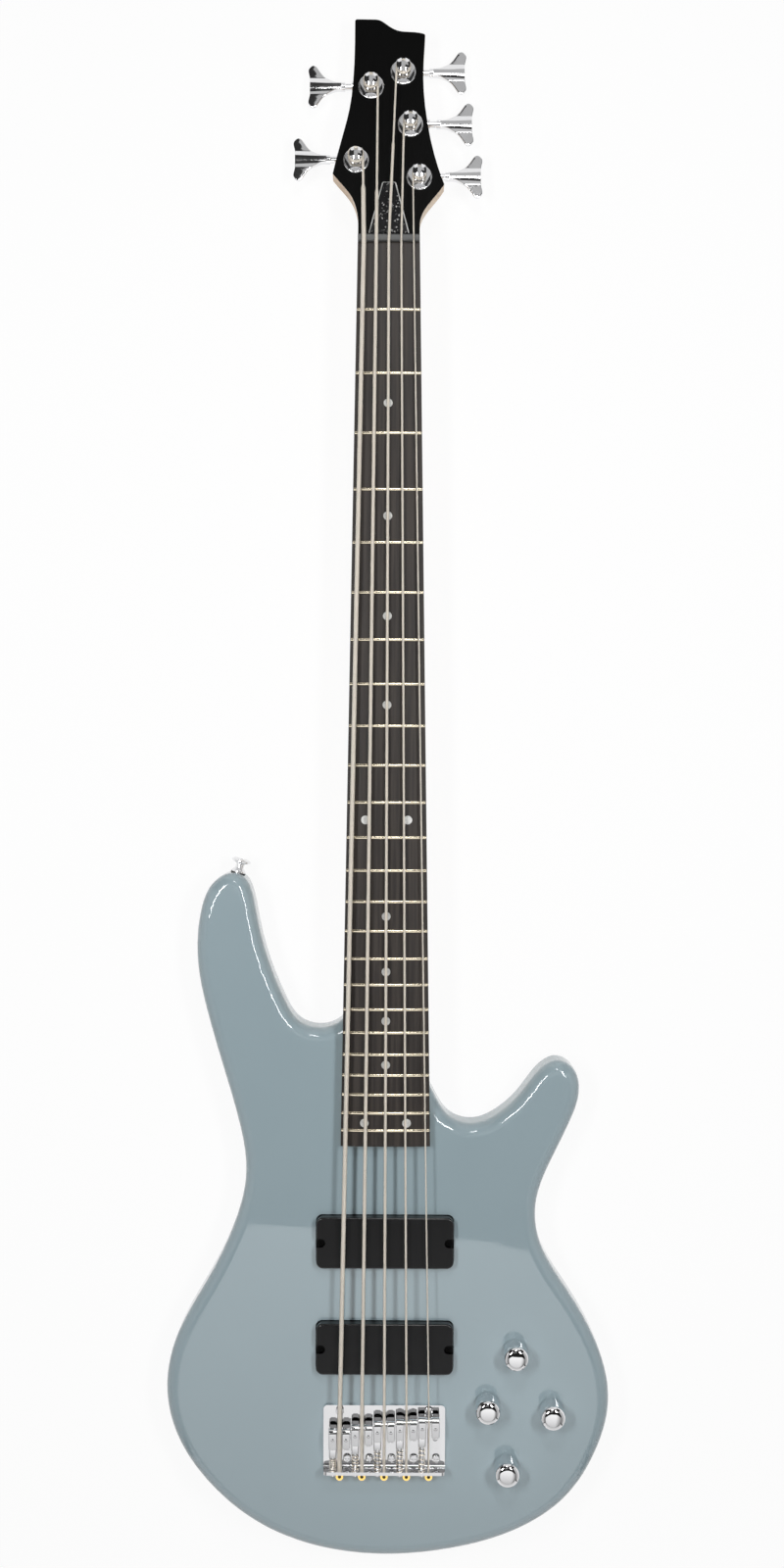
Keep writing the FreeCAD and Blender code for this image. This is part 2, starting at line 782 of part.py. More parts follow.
# Headstock places: shares of its width across and of its length along
HEAD_LEFT_SHARES = ((-0.506, 0.288), (-0.452, 0.400), (-0.408, 0.482), (-0.357, 0.590),
                    (-0.329, 0.700), (-0.315, 0.840), (-0.313, 1.000))
HEAD_TOP_SHARES = ((-0.130, 0.999), (-0.075, 0.992), (0.000, 0.966), (0.078, 0.9475), (0.180, 0.942),
                   (0.321, 0.931))
HEAD_RIGHT_SHARES = ((0.321, 0.931), (0.308, 0.820), (0.305, 0.700), (0.323, 0.591), (0.367, 0.456),
                     (0.420, 0.349), (0.494, 0.242))
THROAT_LEFT_SHARES = (0.075, (-0.300, 0.142), (-0.330, 0.178), (-0.430, 0.243))
THROAT_RIGHT_SHARES = (0.055, (0.294, 0.100), (0.340, 0.141), (0.428, 0.196))
POST_SHARES = ((-0.296, 0.349), (-0.165, 0.689), (0.123, 0.755), (0.189, 0.5145), (0.270, 0.272))
POST_SIDES = (-1, -1, 1, 1, 1)


def head_place(shares):
    return shares[0] * s.headstock_width.value, shares[1] * s.headstock_length.value


post_places = [head_place(shares) for shares in POST_SHARES]
sleeve_radius = s.post_diameter / 2 + s.post_running_clearance + s.bushing_wall


def half_round(owner, name, y, depth):
    """The neck's section at a station: flat on top, half an ellipse below."""
    sketch = new_sketch(owner, name, "XZ_Plane", -y)
    half = board_width(y).value / 2
    top = neck_top.value
    ellipse = Part.Ellipse(V(half, top, 0), V(0, top + depth.value, 0), V(0, top, 0))
    sketch.addGeometry(Part.ArcOfEllipse(ellipse, math.pi, 2 * math.pi), False)
    draw_line(sketch, (-half, top), (half, top))
    return sketch


def make_neck():
    owner = design_body("neck_blank")
    heel_start = heel_end + s.heel_length
    end_half = board_width(heel_end) / 2
    start_half = board_width(heel_start) / 2
    plan = new_sketch(owner, "heel_plan", lift=pocket_floor)
    draw_polygon(plan, [(-end_half, heel_end), (end_half, heel_end), (start_half, heel_start),
                        (-start_half, heel_start)])
    heel = pad(owner, plan, s.heel_thickness, "heel")

    def heel_lip(edge):
        centre = edge.BoundBox.Center
        return abs(centre.y - heel_start.value) < CLOSE and edge_at_height(pocket_floor)(edge)

    fillet(owner, heel, heel_lip, s.heel_round, "heel_lip")
    shaft = owner.newObject("PartDesign::AdditiveLoft", "neck_shaft")
    shaft.Profile = half_round(owner, "section_at_heel", heel_start - s.heel_round * 2, s.neck_depth_heel)
    shaft.Sections = [half_round(owner, "section_at_nut", head_start, s.neck_depth_nut)]

    head = head_sketch(owner, "headstock_outline")
    throat = board_width(head_start).value / 2
    along = s.headstock_length.value
    left = [head_place(shares) for shares in HEAD_LEFT_SHARES]
    right = [head_place(shares) for shares in HEAD_RIGHT_SHARES]
    top = [head_place(shares) for shares in HEAD_TOP_SHARES]
    left_start = (-throat, THROAT_LEFT_SHARES[0] * along)
    right_start = (throat, THROAT_RIGHT_SHARES[0] * along)
    left_throat = [left_start] + [head_place(shares) for shares in THROAT_LEFT_SHARES[1:]] + [left[0]]
    right_throat = [right_start] + [head_place(shares) for shares in THROAT_RIGHT_SHARES[1:]] + [right[-1]]
    draw_line(head, (throat, 0), (-throat, 0))
    draw_line(head, (-throat, 0), left_start)
    draw_curve(head, left_throat)
    draw_curve(head, left)
    draw_line(head, left[-1], top[0])
    draw_curve(head, top)
    draw_curve(head, right)
    draw_curve(head, right_throat[::-1])
    draw_line(head, right_start, (throat, 0))
    slab = pad(owner, head, s.headstock_thickness, "headstock", downward=True)
    corners = [on_head(u, v, -s.headstock_thickness.value / 2) for u, v in (left[-1], right[0])]

    def top_corner(edge):
        return min((edge.CenterOfMass - place).Length for place in corners) < CLOSE

    fillet(owner, slab, top_corner, s.headstock_corner_round, "headstock_corners")

    channel = new_sketch(owner, "rod_channel", lift=neck_top)
    channel_half = s.rod_diameter / 2 + s.rod_channel_clearance
    channel_start = heel_end + s.rod_heel_gap
    draw_polygon(channel, [(-channel_half, channel_start), (channel_half, channel_start),
                           (channel_half, head_start), (-channel_half, head_start)])
    pocket(owner, channel, s.rod_depth + channel_half, "rod_channel")
    access = head_sketch(owner, "rod_access", lift=s.cut_overrun)
    draw_polygon(access, [(-s.rod_access_width / 2, 0), (s.rod_access_width / 2, 0),
                          (s.rod_access_width / 2, s.rod_access_length),
                          (-s.rod_access_width / 2, s.rod_access_length)])
    pocket(owner, access, s.rod_access_depth + s.cut_overrun, "rod_access")

    bores = head_sketch(owner, "tuner_bores")
    for u, v in post_places:
        ring = Part.Circle(V(u, v, 0), V(0, 0, 1), sleeve_radius.value + s.screw_fit_clearance.value)
        bores.addGeometry(ring, False)
    pocket(owner, bores, s.headstock_thickness + s.cut_overrun, "tuner_bore")
    pilots = new_sketch(owner, "neck_pilots", lift=pocket_floor)
    for x, y in ferrule_places:
        draw_circle(pilots, x, y, s.neck_screw_diameter / 2 + s.screw_fit_clearance)
    pocket(owner, pilots, s.neck_screw_bite + s.screw_fit_clearance, "neck_pilot", upward=True)
    cover_pilots = head_sketch(owner, "cover_screw_pilots")
    for u, v in cover_screw_places:
        draw_circle(cover_pilots, u, v, s.small_screw_diameter / 2 + s.screw_fit_clearance)
    pocket(owner, cover_pilots, s.small_screw_length, "cover_screw_pilot")
    tuner_pilots = head_sketch(owner, "tuner_screw_pilots", lift=-s.headstock_thickness)
    for u, v in post_places:
        ring = Part.Circle(V(u, v + foot_middle.value, 0), V(0, 0, 1), tuner_pilot_radius.value)
        tuner_pilots.addGeometry(ring, False)
    pocket(owner, tuner_pilots, s.tuner_screw_length, "tuner_screw_pilot", upward=True)
    return node(owner, "neck")


# Frets and position dots
FRET_COUNT = 24
SINGLE_DOTS = (3, 5, 7, 9, 15, 17, 19, 21)
DOUBLE_DOTS = (12, 24)
LAST_DOT_SHARE = 0.42


def across_board(profile, name, overhang):
    """A bar at each fret station, swept over the camber of the board to an overhang past its edges."""
    bars = []
    for number in range(1, FRET_COUNT + 1):
        station = fret_station(number)
        half_width = board_width(station) / 2 + overhang
        bar = doc.addObject("Part::Revolution", name)
        bar.Source = profile
        bar.Axis = V(0, 1, 0)
        bar.Symmetric = True
        bar.Solid = True
        bind(bar, "Base.z", crown - s.fretboard_radius)
        bar.setExpression("Angle", f"2 * asin({(half_width / s.fretboard_radius).text})")
        bind(bar, "Placement.Base.y", station)
        bars.append(bar)
    return compound(bars, name)


def fret_profile(name, corners):
    """A sketch across a fret, with height zero on the board: straight runs from corner to corner."""
    profile = doc.addObject("Sketcher::SketchObject", name)
    profile.Placement = FreeCAD.Placement(V(0, 0, 0), Turn(V(1, 1, 1), 120))
    bind(profile, "Placement.Base.z", crown)
    for start, end in zip(corners, corners[1:]):
        draw_line(profile, start, end)
    return profile


def make_frets():
    half, tang = s.fret_width.value / 2, s.fret_tang_width.value / 2
    depth, top = s.fret_tang_depth.value, s.fret_height.value
    stem = [(half, 0), (tang, 0), (tang, -depth), (-tang, -depth), (-tang, 0), (-half, 0)]
    profile = fret_profile("fret_profile", stem)
    profile.addGeometry(Part.Arc(V(-half, 0, 0), V(0, top, 0), V(half, 0, 0)), False)
    return node(across_board(profile, "fret", -s.fret_end_inset), "frets")


def fret_slots():
    tang, depth, top = s.fret_tang_width.value / 2, s.fret_tang_depth.value, s.fret_height.value
    corners = [(tang, top), (tang, -depth), (-tang, -depth), (-tang, top), (tang, top)]
    return across_board(fret_profile("slot_profile", corners), "fret_slot", s.fret_end_inset)


def board_cylinder():
    """The round that gives the playing surface its camber."""
    bar = cylinder(s.fretboard_radius, s.scale_length - heel_end, "camber")
    return put(bar, 0, heel_end, crown - s.fretboard_radius, ALONG_Y)


def dot_bars():
    places = []
    for number in SINGLE_DOTS + DOUBLE_DOTS:
        station = (fret_station(number) + fret_station(number - 1)) / 2
        if number == FRET_COUNT:
            room = fret_station(number - 1) - fret_station(number)
            station = fret_station(number) + room * LAST_DOT_SHARE
        sides = (-0.5, 0.5) if number in DOUBLE_DOTS else (0,)
        places += [(s.double_dot_spacing * side, station) for side in sides]
    bars = []
    for x, y in places:
        bar = cylinder(s.dot_diameter / 2, s.dot_depth + s.fret_height, "dot")
        bars.append(put(bar, x, y, crown - s.dot_depth))
    return compound(bars, "dot_bars")


def make_fretboard():
    owner = design_body("fretboard_blank")
    plan = new_sketch(owner, "fretboard_plan", lift=neck_top)
    end_half = board_width(heel_end) / 2
    nut_half = board_width(s.scale_length) / 2
    draw_polygon(plan, [(-end_half, heel_end), (end_half, heel_end), (nut_half, s.scale_length),
                        (-nut_half, s.scale_length)])
    pad(owner, plan, s.fretboard_thickness, "fretboard_blank")
    cambered = common(owner, board_cylinder(), "cambered_board")
    slotted = cut(cambered, fret_slots(), name="slotted_board")
    dots = dot_bars()
    node(cut(slotted, dots, name="fretboard"), "fretboard")
    node(common(dots, board_cylinder(), "position_dots"), "position_dots")


# Strings: from the ball end over the saddle and the nut to the post
string_radii = [getattr(s, f"string_{name}_diameter") / 2 for name in STRING_NAMES]
tail_radii = [getattr(s, f"string_{name}_tail_diameter") / 2 for name in STRING_NAMES]
STEP_SHARES = (0.62, 0.30, 0.55, 0.88, 0.90)
WINDING_QUARTERS = 6
SAMPLES_PER_QUARTER = 20


def arc_edge(start, direction, end):
    """An arc from start to end that leaves start in a direction, or a line where they agree."""
    chord = end - start
    along = chord.normalize()
    length = (end - start).Length
    across = direction - along * direction.dot(along)
    if across.Length < CLOSE:
        return Part.LineSegment(start, end).toShape()
    half_turn = math.atan2(across.Length, direction.dot(along))
    middle = (start + end) * 0.5 + across.normalize() * (length / 2 * math.tan(half_turn / 2))
    return Part.Arc(start, middle, end).toShape()


def biarc(start, leave, end, arrive):
    """Two tangent arcs between two points with given directions."""
    span = end - start
    both = leave + arrive
    spread = 2 * (1 - leave.dot(arrive))
    reach = span.dot(span) / (2 * span.dot(both))
    if spread > CLOSE:
        reach = (-span.dot(both) + math.sqrt(span.dot(both) ** 2 + spread * span.dot(span))) / spread
    joint = (start + leave * reach + end - arrive * reach) * 0.5
    joint_way = (end - arrive * reach - start - leave * reach).normalize()
    return [arc_edge(start, leave, joint), arc_edge(joint, joint_way, end)]


def tube(edges, radius, label):
    """A round wire along a path of lines and arcs that starts at the first edge."""
    path = Part.Wire(edges)
    first = edges[0]
    start = first.valueAt(first.FirstParameter)
    way = first.tangentAt(first.FirstParameter)
    section = Part.Wire(Part.Circle(start, way, radius).toShape())
    solid = path.makePipeShell([section], True, False)
    if solid.Volume < 0:
        solid.reverse()
    if not solid.isValid():
        raise RuntimeError(f"{label} is not a sound tube")
    return solid


def bent_path(points, radius):
    """Straight runs through points, with each corner rounded by an arc."""
    edges = []
    start = points[0]
    for before, corner, after in zip(points, points[1:], points[2:]):
        arriving = (corner - before).normalize()
        leaving = (after - corner).normalize()
        turn = arriving.getAngle(leaving)
        trim = radius * math.tan(turn / 2)
        enter = corner - arriving * trim
        edges.append(Part.LineSegment(start, enter).toShape())
        start = corner + leaving * trim
        edges.append(arc_edge(enter, arriving, start))
    edges.append(Part.LineSegment(start, points[-1]).toShape())
    return edges


def least_gap(points, wire, apart):
    """The least clear distance between parts of a wound wire that lie over a half turn apart."""
    gaps = [(a - b).Length for i, a in enumerate(points) for b in points[i + apart:]]
    return min(gaps) - wire


def winding(index):
    """The turns on a post: the point and direction where they start, their edges and points."""
    u, v = post_places[index]
    side = POST_SIDES[index]
    radius = tail_radii[index].value
    round_radius = s.post_waist_diameter.value / 2 + s.winding_post_gap.value + radius
    low = s.post_waist_bottom.value + s.winding_post_gap.value + radius
    pitch = 2 * radius + s.winding_gap.value
    nut = head_frame.inverse().multVec(nut_point(index))
    away = V(u, v, 0) - V(nut.x, nut.y, 0)
    lean = math.asin(round_radius / away.Length)
    heading = math.atan2(away.y, away.x) + side * lean
    first = heading + side * math.pi / 2

    def turn_point(angle_done):
        angle = first - side * angle_done
        height = low + pitch * angle_done / (2 * math.pi)
        return V(u + round_radius * math.cos(angle), v + round_radius * math.sin(angle), height)

    def turn_way(angle_done):
        angle = first - side * angle_done
        rise = pitch / (2 * math.pi)
        way = V(side * round_radius * math.sin(angle), -side * round_radius * math.cos(angle), rise)
        return head_frame.Rotation.multVec(way).normalize()

    start = head_frame.multVec(turn_point(0))
    leave = (start - nut_point(index)).normalize()
    edges = []
    here, way = start, leave
    for quarter in range(1, WINDING_QUARTERS + 1):
        there = head_frame.multVec(turn_point(quarter * half_pi))
        there_way = turn_way(quarter * half_pi)
        edges += biarc(here, way, there, there_way)
        here, way = there, there_way
    steps = WINDING_QUARTERS * SAMPLES_PER_QUARTER
    samples = [turn_point(half_pi * step / SAMPLES_PER_QUARTER) for step in range(steps + 1)]
    gap = least_gap(samples, 2 * radius, SAMPLES_PER_QUARTER * 3)
    print(f"winding {STRING_NAMES[index]}: least gap {gap:.2f} mm")
    return start, edges


def nut_point(index):
    height = crown.value + s.string_rise_nut.value + string_radii[index].value
    return V(string_x_nut[index].value, s.scale_length.value, height)


windings = [winding(index) for index in range(len(STRING_NAMES))]


def make_string(index):
    radius, thin = string_radii[index].value, tail_radii[index].value
    x = string_x_bridge[index].value
    ball = V(x, string_start.value, string_hole_height.value)
    crest = V(x, crest_stations[index].value, crest_height.value + radius)
    nut = nut_point(index)
    tangent_point, turns = windings[index]
    way = tangent_point - nut
    step_start = nut + way * STEP_SHARES[index]
    way.normalize()
    step_end = step_start + way * s.string_step_length.value
    bend = s.saddle_crest_radius.value + radius
    lower = bent_path([ball, crest, nut, step_start], bend)
    thick = tube(lower, radius, "string")
    step = Part.makeCone(radius, thin, s.string_step_length.value, step_start, way)
    tail = tube([Part.LineSegment(step_end, tangent_point).toShape()] + turns, thin, "string tail")
    item = doc.addObject("Part::Feature", f"string_{STRING_NAMES[index]}_solid")
    item.Shape = thick.fuse([step, tail])
    return node(item, f"string_{STRING_NAMES[index]}")


def make_nut():
    height = s.fretboard_thickness + s.nut_rise
    half = board_width(head_start) / 2
    blank = put(box(half * 2, s.nut_depth, height), -half, s.scale_length, neck_top)

    def crown_edge(edge):
        return edge_at_height(neck_top + height)(edge) and edge.BoundBox.XLength > s.nut_width.value / 2

    rounded = round_edges(blank, s.nut_edge_round, crown_edge, "nut_blank")
    cutters = []
    for index in range(len(STRING_NAMES)):
        start, _ = windings[index]
        point = nut_point(index)
        way = (start - point).normalize()
        radius = string_radii[index] + s.nut_slot_clearance
        base = point - way * s.nut_depth.value
        slot = cylinder(radius, s.nut_depth * 3, "string_slot")
        slot.Placement = FreeCAD.Placement(base, Turn(V(0, 0, 1), way))
        mouth = box(radius * 2, s.nut_depth * 3, s.nut_rise, "slot_mouth")
        lean = Turn(V(0, 1, 0), way)
        corner = base - lean.multVec(V(radius.value, 0, 0))
        mouth.Placement = FreeCAD.Placement(corner, lean)
        cutters += [slot, mouth]
    return node(cut(rounded, *cutters, name="slotted_nut"), "nut")


def make_truss_rod():
    start = heel_end + s.rod_heel_gap + s.rod_channel_clearance
    end = head_start + s.rod_reach
    height = neck_top - s.rod_depth
    rod = put(cylinder(s.rod_diameter / 2, end - start, "rod"), 0, start, height, ALONG_Y)
    nut = cylinder(s.rod_nut_diameter / 2, s.rod_nut_length, "rod_nut")
    put(nut, 0, end - s.rod_nut_length, height, ALONG_Y)
    socket = hexagon(s.rod_socket_diameter, s.rod_nut_length / 2, "rod_socket")
    put(socket, 0, end - s.rod_nut_length / 2, height, ALONG_Y)
    return node(cut(fuse(rod, nut), socket, name="adjustable_rod"), "truss_rod")


cover_screw_places = [(s.cover_wide_end * -0.5 + s.cover_screw_inset, s.cover_gap + s.cover_screw_inset),
                      (s.cover_wide_end * 0.5 - s.cover_screw_inset, s.cover_gap + s.cover_screw_inset),
                      (as_size(0), s.cover_gap + s.cover_length - s.cover_screw_inset)]


def make_truss_cover():
    owner = design_body("cover_plate")
    plan = new_sketch(owner, "cover_plan")
    wide, narrow = s.cover_wide_end / 2, s.cover_narrow_end / 2
    near, far = s.cover_gap, s.cover_gap + s.cover_length
    draw_polygon(plan, [(-wide, near), (wide, near), (narrow, far), (-narrow, far)])
    plate = pad(owner, plan, s.cover_thickness, "cover_plate")
    softened = fillet(owner, plate, upright, s.cover_corner_round, "cover_corners")
    doc.recompute()
    bevel = owner.newObject("PartDesign::Chamfer", "cover_bevel")
    rim = edge_at_height(s.cover_thickness)
    names = [f"Edge{n}" for n, edge in enumerate(softened.Shape.Edges, 1) if rim(edge)]
    bevel.Base = (softened, names)
    bind(bevel, "Size", s.cover_bevel)
    holes = new_sketch(owner, "cover_holes", lift=s.cover_thickness)
    sinks = new_sketch(owner, "cover_sinks", lift=s.cover_thickness)
    for u, v in cover_screw_places:
        draw_circle(holes, u, v, s.small_screw_diameter / 2 + s.screw_fit_clearance)
        draw_circle(sinks, u, v, s.small_screw_head / 2 + s.screw_fit_clearance)
    pocket(owner, holes, s.cover_thickness, "cover_hole")
    pocket(owner, sinks, s.small_screw_recess, "cover_sink")
    owner.Placement = head_frame
    return node(owner, "truss_rod_cover")


CROSS_SHARE = 0.62


def screw(head, head_height, diameter, length):
    """A cross-head screw, head up, with the underside of its head at height zero."""
    top = cylinder(head / 2, head_height, "screw_head")
    shank = put(cylinder(diameter / 2, length), 0, 0, -length)
    arm = head * CROSS_SHARE
    level = head_height - s.cross_depth
    one = put(box(arm, s.cross_width, s.cross_depth), -arm / 2, -s.cross_width / 2, level)
    other = put(box(s.cross_width, arm, s.cross_depth), -s.cross_width / 2, -arm / 2, level)
    return cut(fuse(top, shank), one, other, name="screw")


def small_screw():
    return screw(s.small_screw_head, s.small_screw_recess, s.small_screw_diameter, s.small_screw_length)


def make_cover_screws():
    screws = []
    seat = s.cover_thickness - s.small_screw_recess
    for u, v in cover_screw_places:
        screw = small_screw()
        screw.Placement = head_frame.multiply(FreeCAD.Placement(V(u.value, v.value, seat.value), Turn()))
        screws.append(screw)
    for x, y in control_screw_places:
        screw = small_screw()
        screws.append(put(screw, x, y, s.control_cover_clearance + s.small_screw_recess, UPSIDE_DOWN))
    return node(compound(screws, "cover_screw_set"), "cover_screws")


# Tuners, each in the frame of its post: v along the headstock, w out of its face
head_back = -s.headstock_thickness
worm_level = head_back - s.worm_drop
housing_bottom = head_back - s.housing_depth
bearing_end = s.housing_width / 2 + s.key_bearing_length
foot_middle = -s.housing_below_post - s.housing_foot_length / 2
tuner_pilot_radius = s.tuner_screw_diameter / 2 + s.screw_fit_clearance


def at_post(item, index):
    u, v = post_places[index]
    item.Placement = head_frame.multiply(FreeCAD.Placement(V(u, v, 0), Turn()))
    return item


def sideways(item, side, start, along=0, level=0):
    """Lays an upright bar across the headstock, pointing out on one side."""
    turn = ALONG_X if side > 0 else AGAINST_X
    return put(item, as_size(start) * side, along, level, turn)


def make_washer(index):
    ring = cylinder(s.washer_diameter / 2, s.washer_thickness, "washer_disc")
    hole = cylinder(sleeve_radius + s.screw_fit_clearance, s.washer_thickness, "washer_hole")
    return at_post(cut(ring, hole, name="washer"), index)


def make_bushing(index):
    cap = put(hexagon(s.bushing_hex, s.bushing_hex_height), 0, 0, s.washer_thickness)
    sleeve_length = s.headstock_thickness - s.housing_wall
    sleeve = put(cylinder(sleeve_radius, sleeve_length + s.washer_thickness), 0, 0, -sleeve_length)
    bore = cylinder(s.post_diameter / 2 + s.post_running_clearance, s.headstock_thickness * 2, "post_bore")
    put(bore, 0, 0, -s.headstock_thickness)
    return at_post(cut(fuse(cap, sleeve), bore, name="bushing"), index)


def make_housing(index):
    side = POST_SIDES[index]
    shell = box(s.housing_width, s.housing_length, s.housing_depth, "housing_block")
    put(shell, s.housing_width * -0.5, -s.housing_below_post, housing_bottom)
    rounded = round_edges(shell, s.housing_round, upright_or_low(housing_bottom), "housing_shell")
    foot_length = s.housing_foot_length + s.housing_round
    foot = box(s.housing_width / 2, foot_length, s.housing_foot_thickness, "foot")
    put(foot, s.housing_width * -0.25, -s.housing_below_post - s.housing_foot_length,
        head_back - s.housing_foot_thickness)
    bearing_radius = s.key_shaft_diameter / 2 + s.housing_wall
    bearing = cylinder(bearing_radius, s.key_bearing_length + s.housing_wall, "bearing")
    sideways(bearing, side, s.housing_width / 2 - s.housing_wall, s.worm_offset, worm_level)
    room = s.gear_diameter / 2 + s.housing_wall / 4
    gear_room = cylinder(room, s.gear_thickness + s.housing_wall, "gear_room")
    put(gear_room, 0, 0, worm_level - (s.gear_thickness + s.housing_wall) / 2)
    post_radius = s.post_diameter / 2 + s.post_running_clearance
    post_room = cylinder(post_radius, s.worm_drop, "post_room")
    put(post_room, 0, 0, worm_level)
    worm_radius = s.worm_diameter / 2 + s.housing_wall / 4
    worm_room = cylinder(worm_radius, s.worm_length + s.housing_wall, "worm_room")
    sideways(worm_room, side, -(s.worm_length + s.housing_wall) / 2, s.worm_offset, worm_level)
    shaft_radius = s.key_shaft_diameter / 2 + s.key_running_clearance
    shaft_room = cylinder(shaft_radius, bearing_end, "shaft_room")
    sideways(shaft_room, side, s.worm_length / 2, s.worm_offset, worm_level)
    screw_hole = cylinder(tuner_pilot_radius, s.housing_depth, "screw_hole")
    put(screw_hole, 0, foot_middle, head_back - s.housing_depth)
    solid = fuse(rounded, foot, bearing)
    rooms = (gear_room, post_room, worm_room, shaft_room, screw_hole)
    return at_post(cut(solid, *rooms, name="housing"), index)


def upright_or_low(level):
    flat = edge_at_height(level)
    return lambda edge: upright(edge) or flat(edge)


def make_tuner_screw(index):
    fixing = screw(s.tuner_screw_head, s.tuner_screw_head_height, s.tuner_screw_diameter,
                   s.tuner_screw_length)
    put(fixing, 0, foot_middle, head_back - s.housing_foot_thickness, UPSIDE_DOWN)
    return at_post(compound([fixing], "tuner_screw"), index)


def make_post(index):
    bottom = worm_level - s.gear_thickness / 2
    bar = put(cylinder(s.post_diameter / 2, s.post_height - bottom), 0, 0, bottom)
    waist_height = s.post_waist_top - s.post_waist_bottom
    ring = put(cylinder(s.post_diameter, waist_height), 0, 0, s.post_waist_bottom)
    core = put(cylinder(s.post_waist_diameter / 2, waist_height), 0, 0, s.post_waist_bottom)
    slot = box(s.post_slot_width, s.post_diameter * 2, s.post_slot_depth, "post_slot")
    put(slot, s.post_slot_width * -0.5, -s.post_diameter, s.post_height - s.post_slot_depth)
    gear = cylinder(s.gear_diameter / 2, s.gear_thickness, "gear")
    put(gear, 0, 0, bottom)
    solid = cut(fuse(bar, gear), cut(ring, core), slot, name="post")
    return node(at_post(solid, index), f"tuner_post_{STRING_NAMES[index]}")


# Key button: shares of its length out from the collar, and of its span along the headstock
BUTTON_SHARES = ((0.00, 0.085), (0.17, 0.095), (0.34, 0.150), (0.50, 0.228), (0.62, 0.332), (0.70, 0.420),
                 (0.76, 0.474), (0.85, 0.500), (0.94, 0.466), (1.00, 0.380), (0.985, 0.290), (0.952, 0.165),
                 (0.945, 0.000))


def make_button_plan(side):
    """The bat-wing outline of a key, as thick as its ridge."""
    owner = design_body("button_plan")
    plan = new_sketch(owner, "button_outline")
    start = s.key_reach.value - s.key_button_length.value
    half = [(side * (start + out * s.key_button_length.value), along * s.key_span.value)
            for out, along in BUTTON_SHARES]
    whole = half + [(out, -along) for out, along in half[-2::-1]]
    draw_curve(plan, whole)
    draw_line(plan, whole[-1], whole[0])
    pad(owner, plan, s.key_thickness * 2, "button_outline", symmetric=True)
    return owner


def make_button_section(side):
    """The section of a key: a round ridge between two thin wings, drawn along the shaft."""
    owner = design_body("button_section")
    section = new_sketch(owner, "button_ridge", role="YZ_Plane")
    tip = s.key_span.value
    ridge = s.key_ridge_width.value / 2
    wing = s.key_wing_thickness.value / 2
    crest = s.key_thickness.value / 2
    for up in (1, -1):
        draw_line(section, (-tip * up, wing * up), (-ridge * up, wing * up))
        bow = Part.Arc(V(-ridge * up, wing * up, 0), V(0, crest * up, 0), V(ridge * up, wing * up, 0))
        section.addGeometry(bow, False)
        draw_line(section, (ridge * up, wing * up), (tip * up, wing * up))
        draw_line(section, (tip * up, wing * up), (tip * up, -wing * up))
    pad(owner, section, s.key_reach + s.cut_overrun, "button_ridge", downward=side < 0)
    return owner


def make_key(index):
    side = POST_SIDES[index]
    shaped = common(make_button_plan(side), make_button_section(side), name="button")
    collar_end = s.key_reach - s.key_button_length

    def rim(edge):
        return abs(edge.BoundBox.Center.y) > CLOSE and edge.BoundBox.XLength > s.key_edge_round.value

    button = round_edges(shaped, s.key_edge_round, rim, "button_edges")
    put(button, 0, s.worm_offset, worm_level)
    worm = cylinder(s.worm_diameter / 2, s.worm_length, "worm")
    sideways(worm, side, -s.worm_length / 2, s.worm_offset, worm_level)
    shaft = cylinder(s.key_shaft_diameter / 2, collar_end - s.worm_length / 2, "key_shaft")
    sideways(shaft, side, s.worm_length / 2, s.worm_offset, worm_level)
    collar = cylinder(s.key_collar_diameter / 2, s.key_collar_length, "key_collar")
    sideways(collar, side, collar_end - s.key_collar_length, s.worm_offset, worm_level)
    solid = fuse(button, worm, shaft, collar, name="key")
    return node(at_post(solid, index), f"tuner_key_{STRING_NAMES[index]}")


def make_tuners():
    order = range(len(STRING_NAMES))
    node(compound([make_housing(index) for index in order], "housings"), "tuner_housings")
    node(compound([make_bushing(index) for index in order], "bushings"), "tuner_bushings")
    node(compound([make_washer(index) for index in order], "washers"), "tuner_washers")
    node(compound([make_tuner_screw(index) for index in order], "tuner_screws"), "tuner_fixing_screws")
    for index in order:
        make_post(index)
        make_key(index)


# Bridge: a bent plate with five saddles, each on two height screws
saddle_level = crest_height - s.saddle_crest_sink
GROOVE_ROUND_SHARE = 0.49


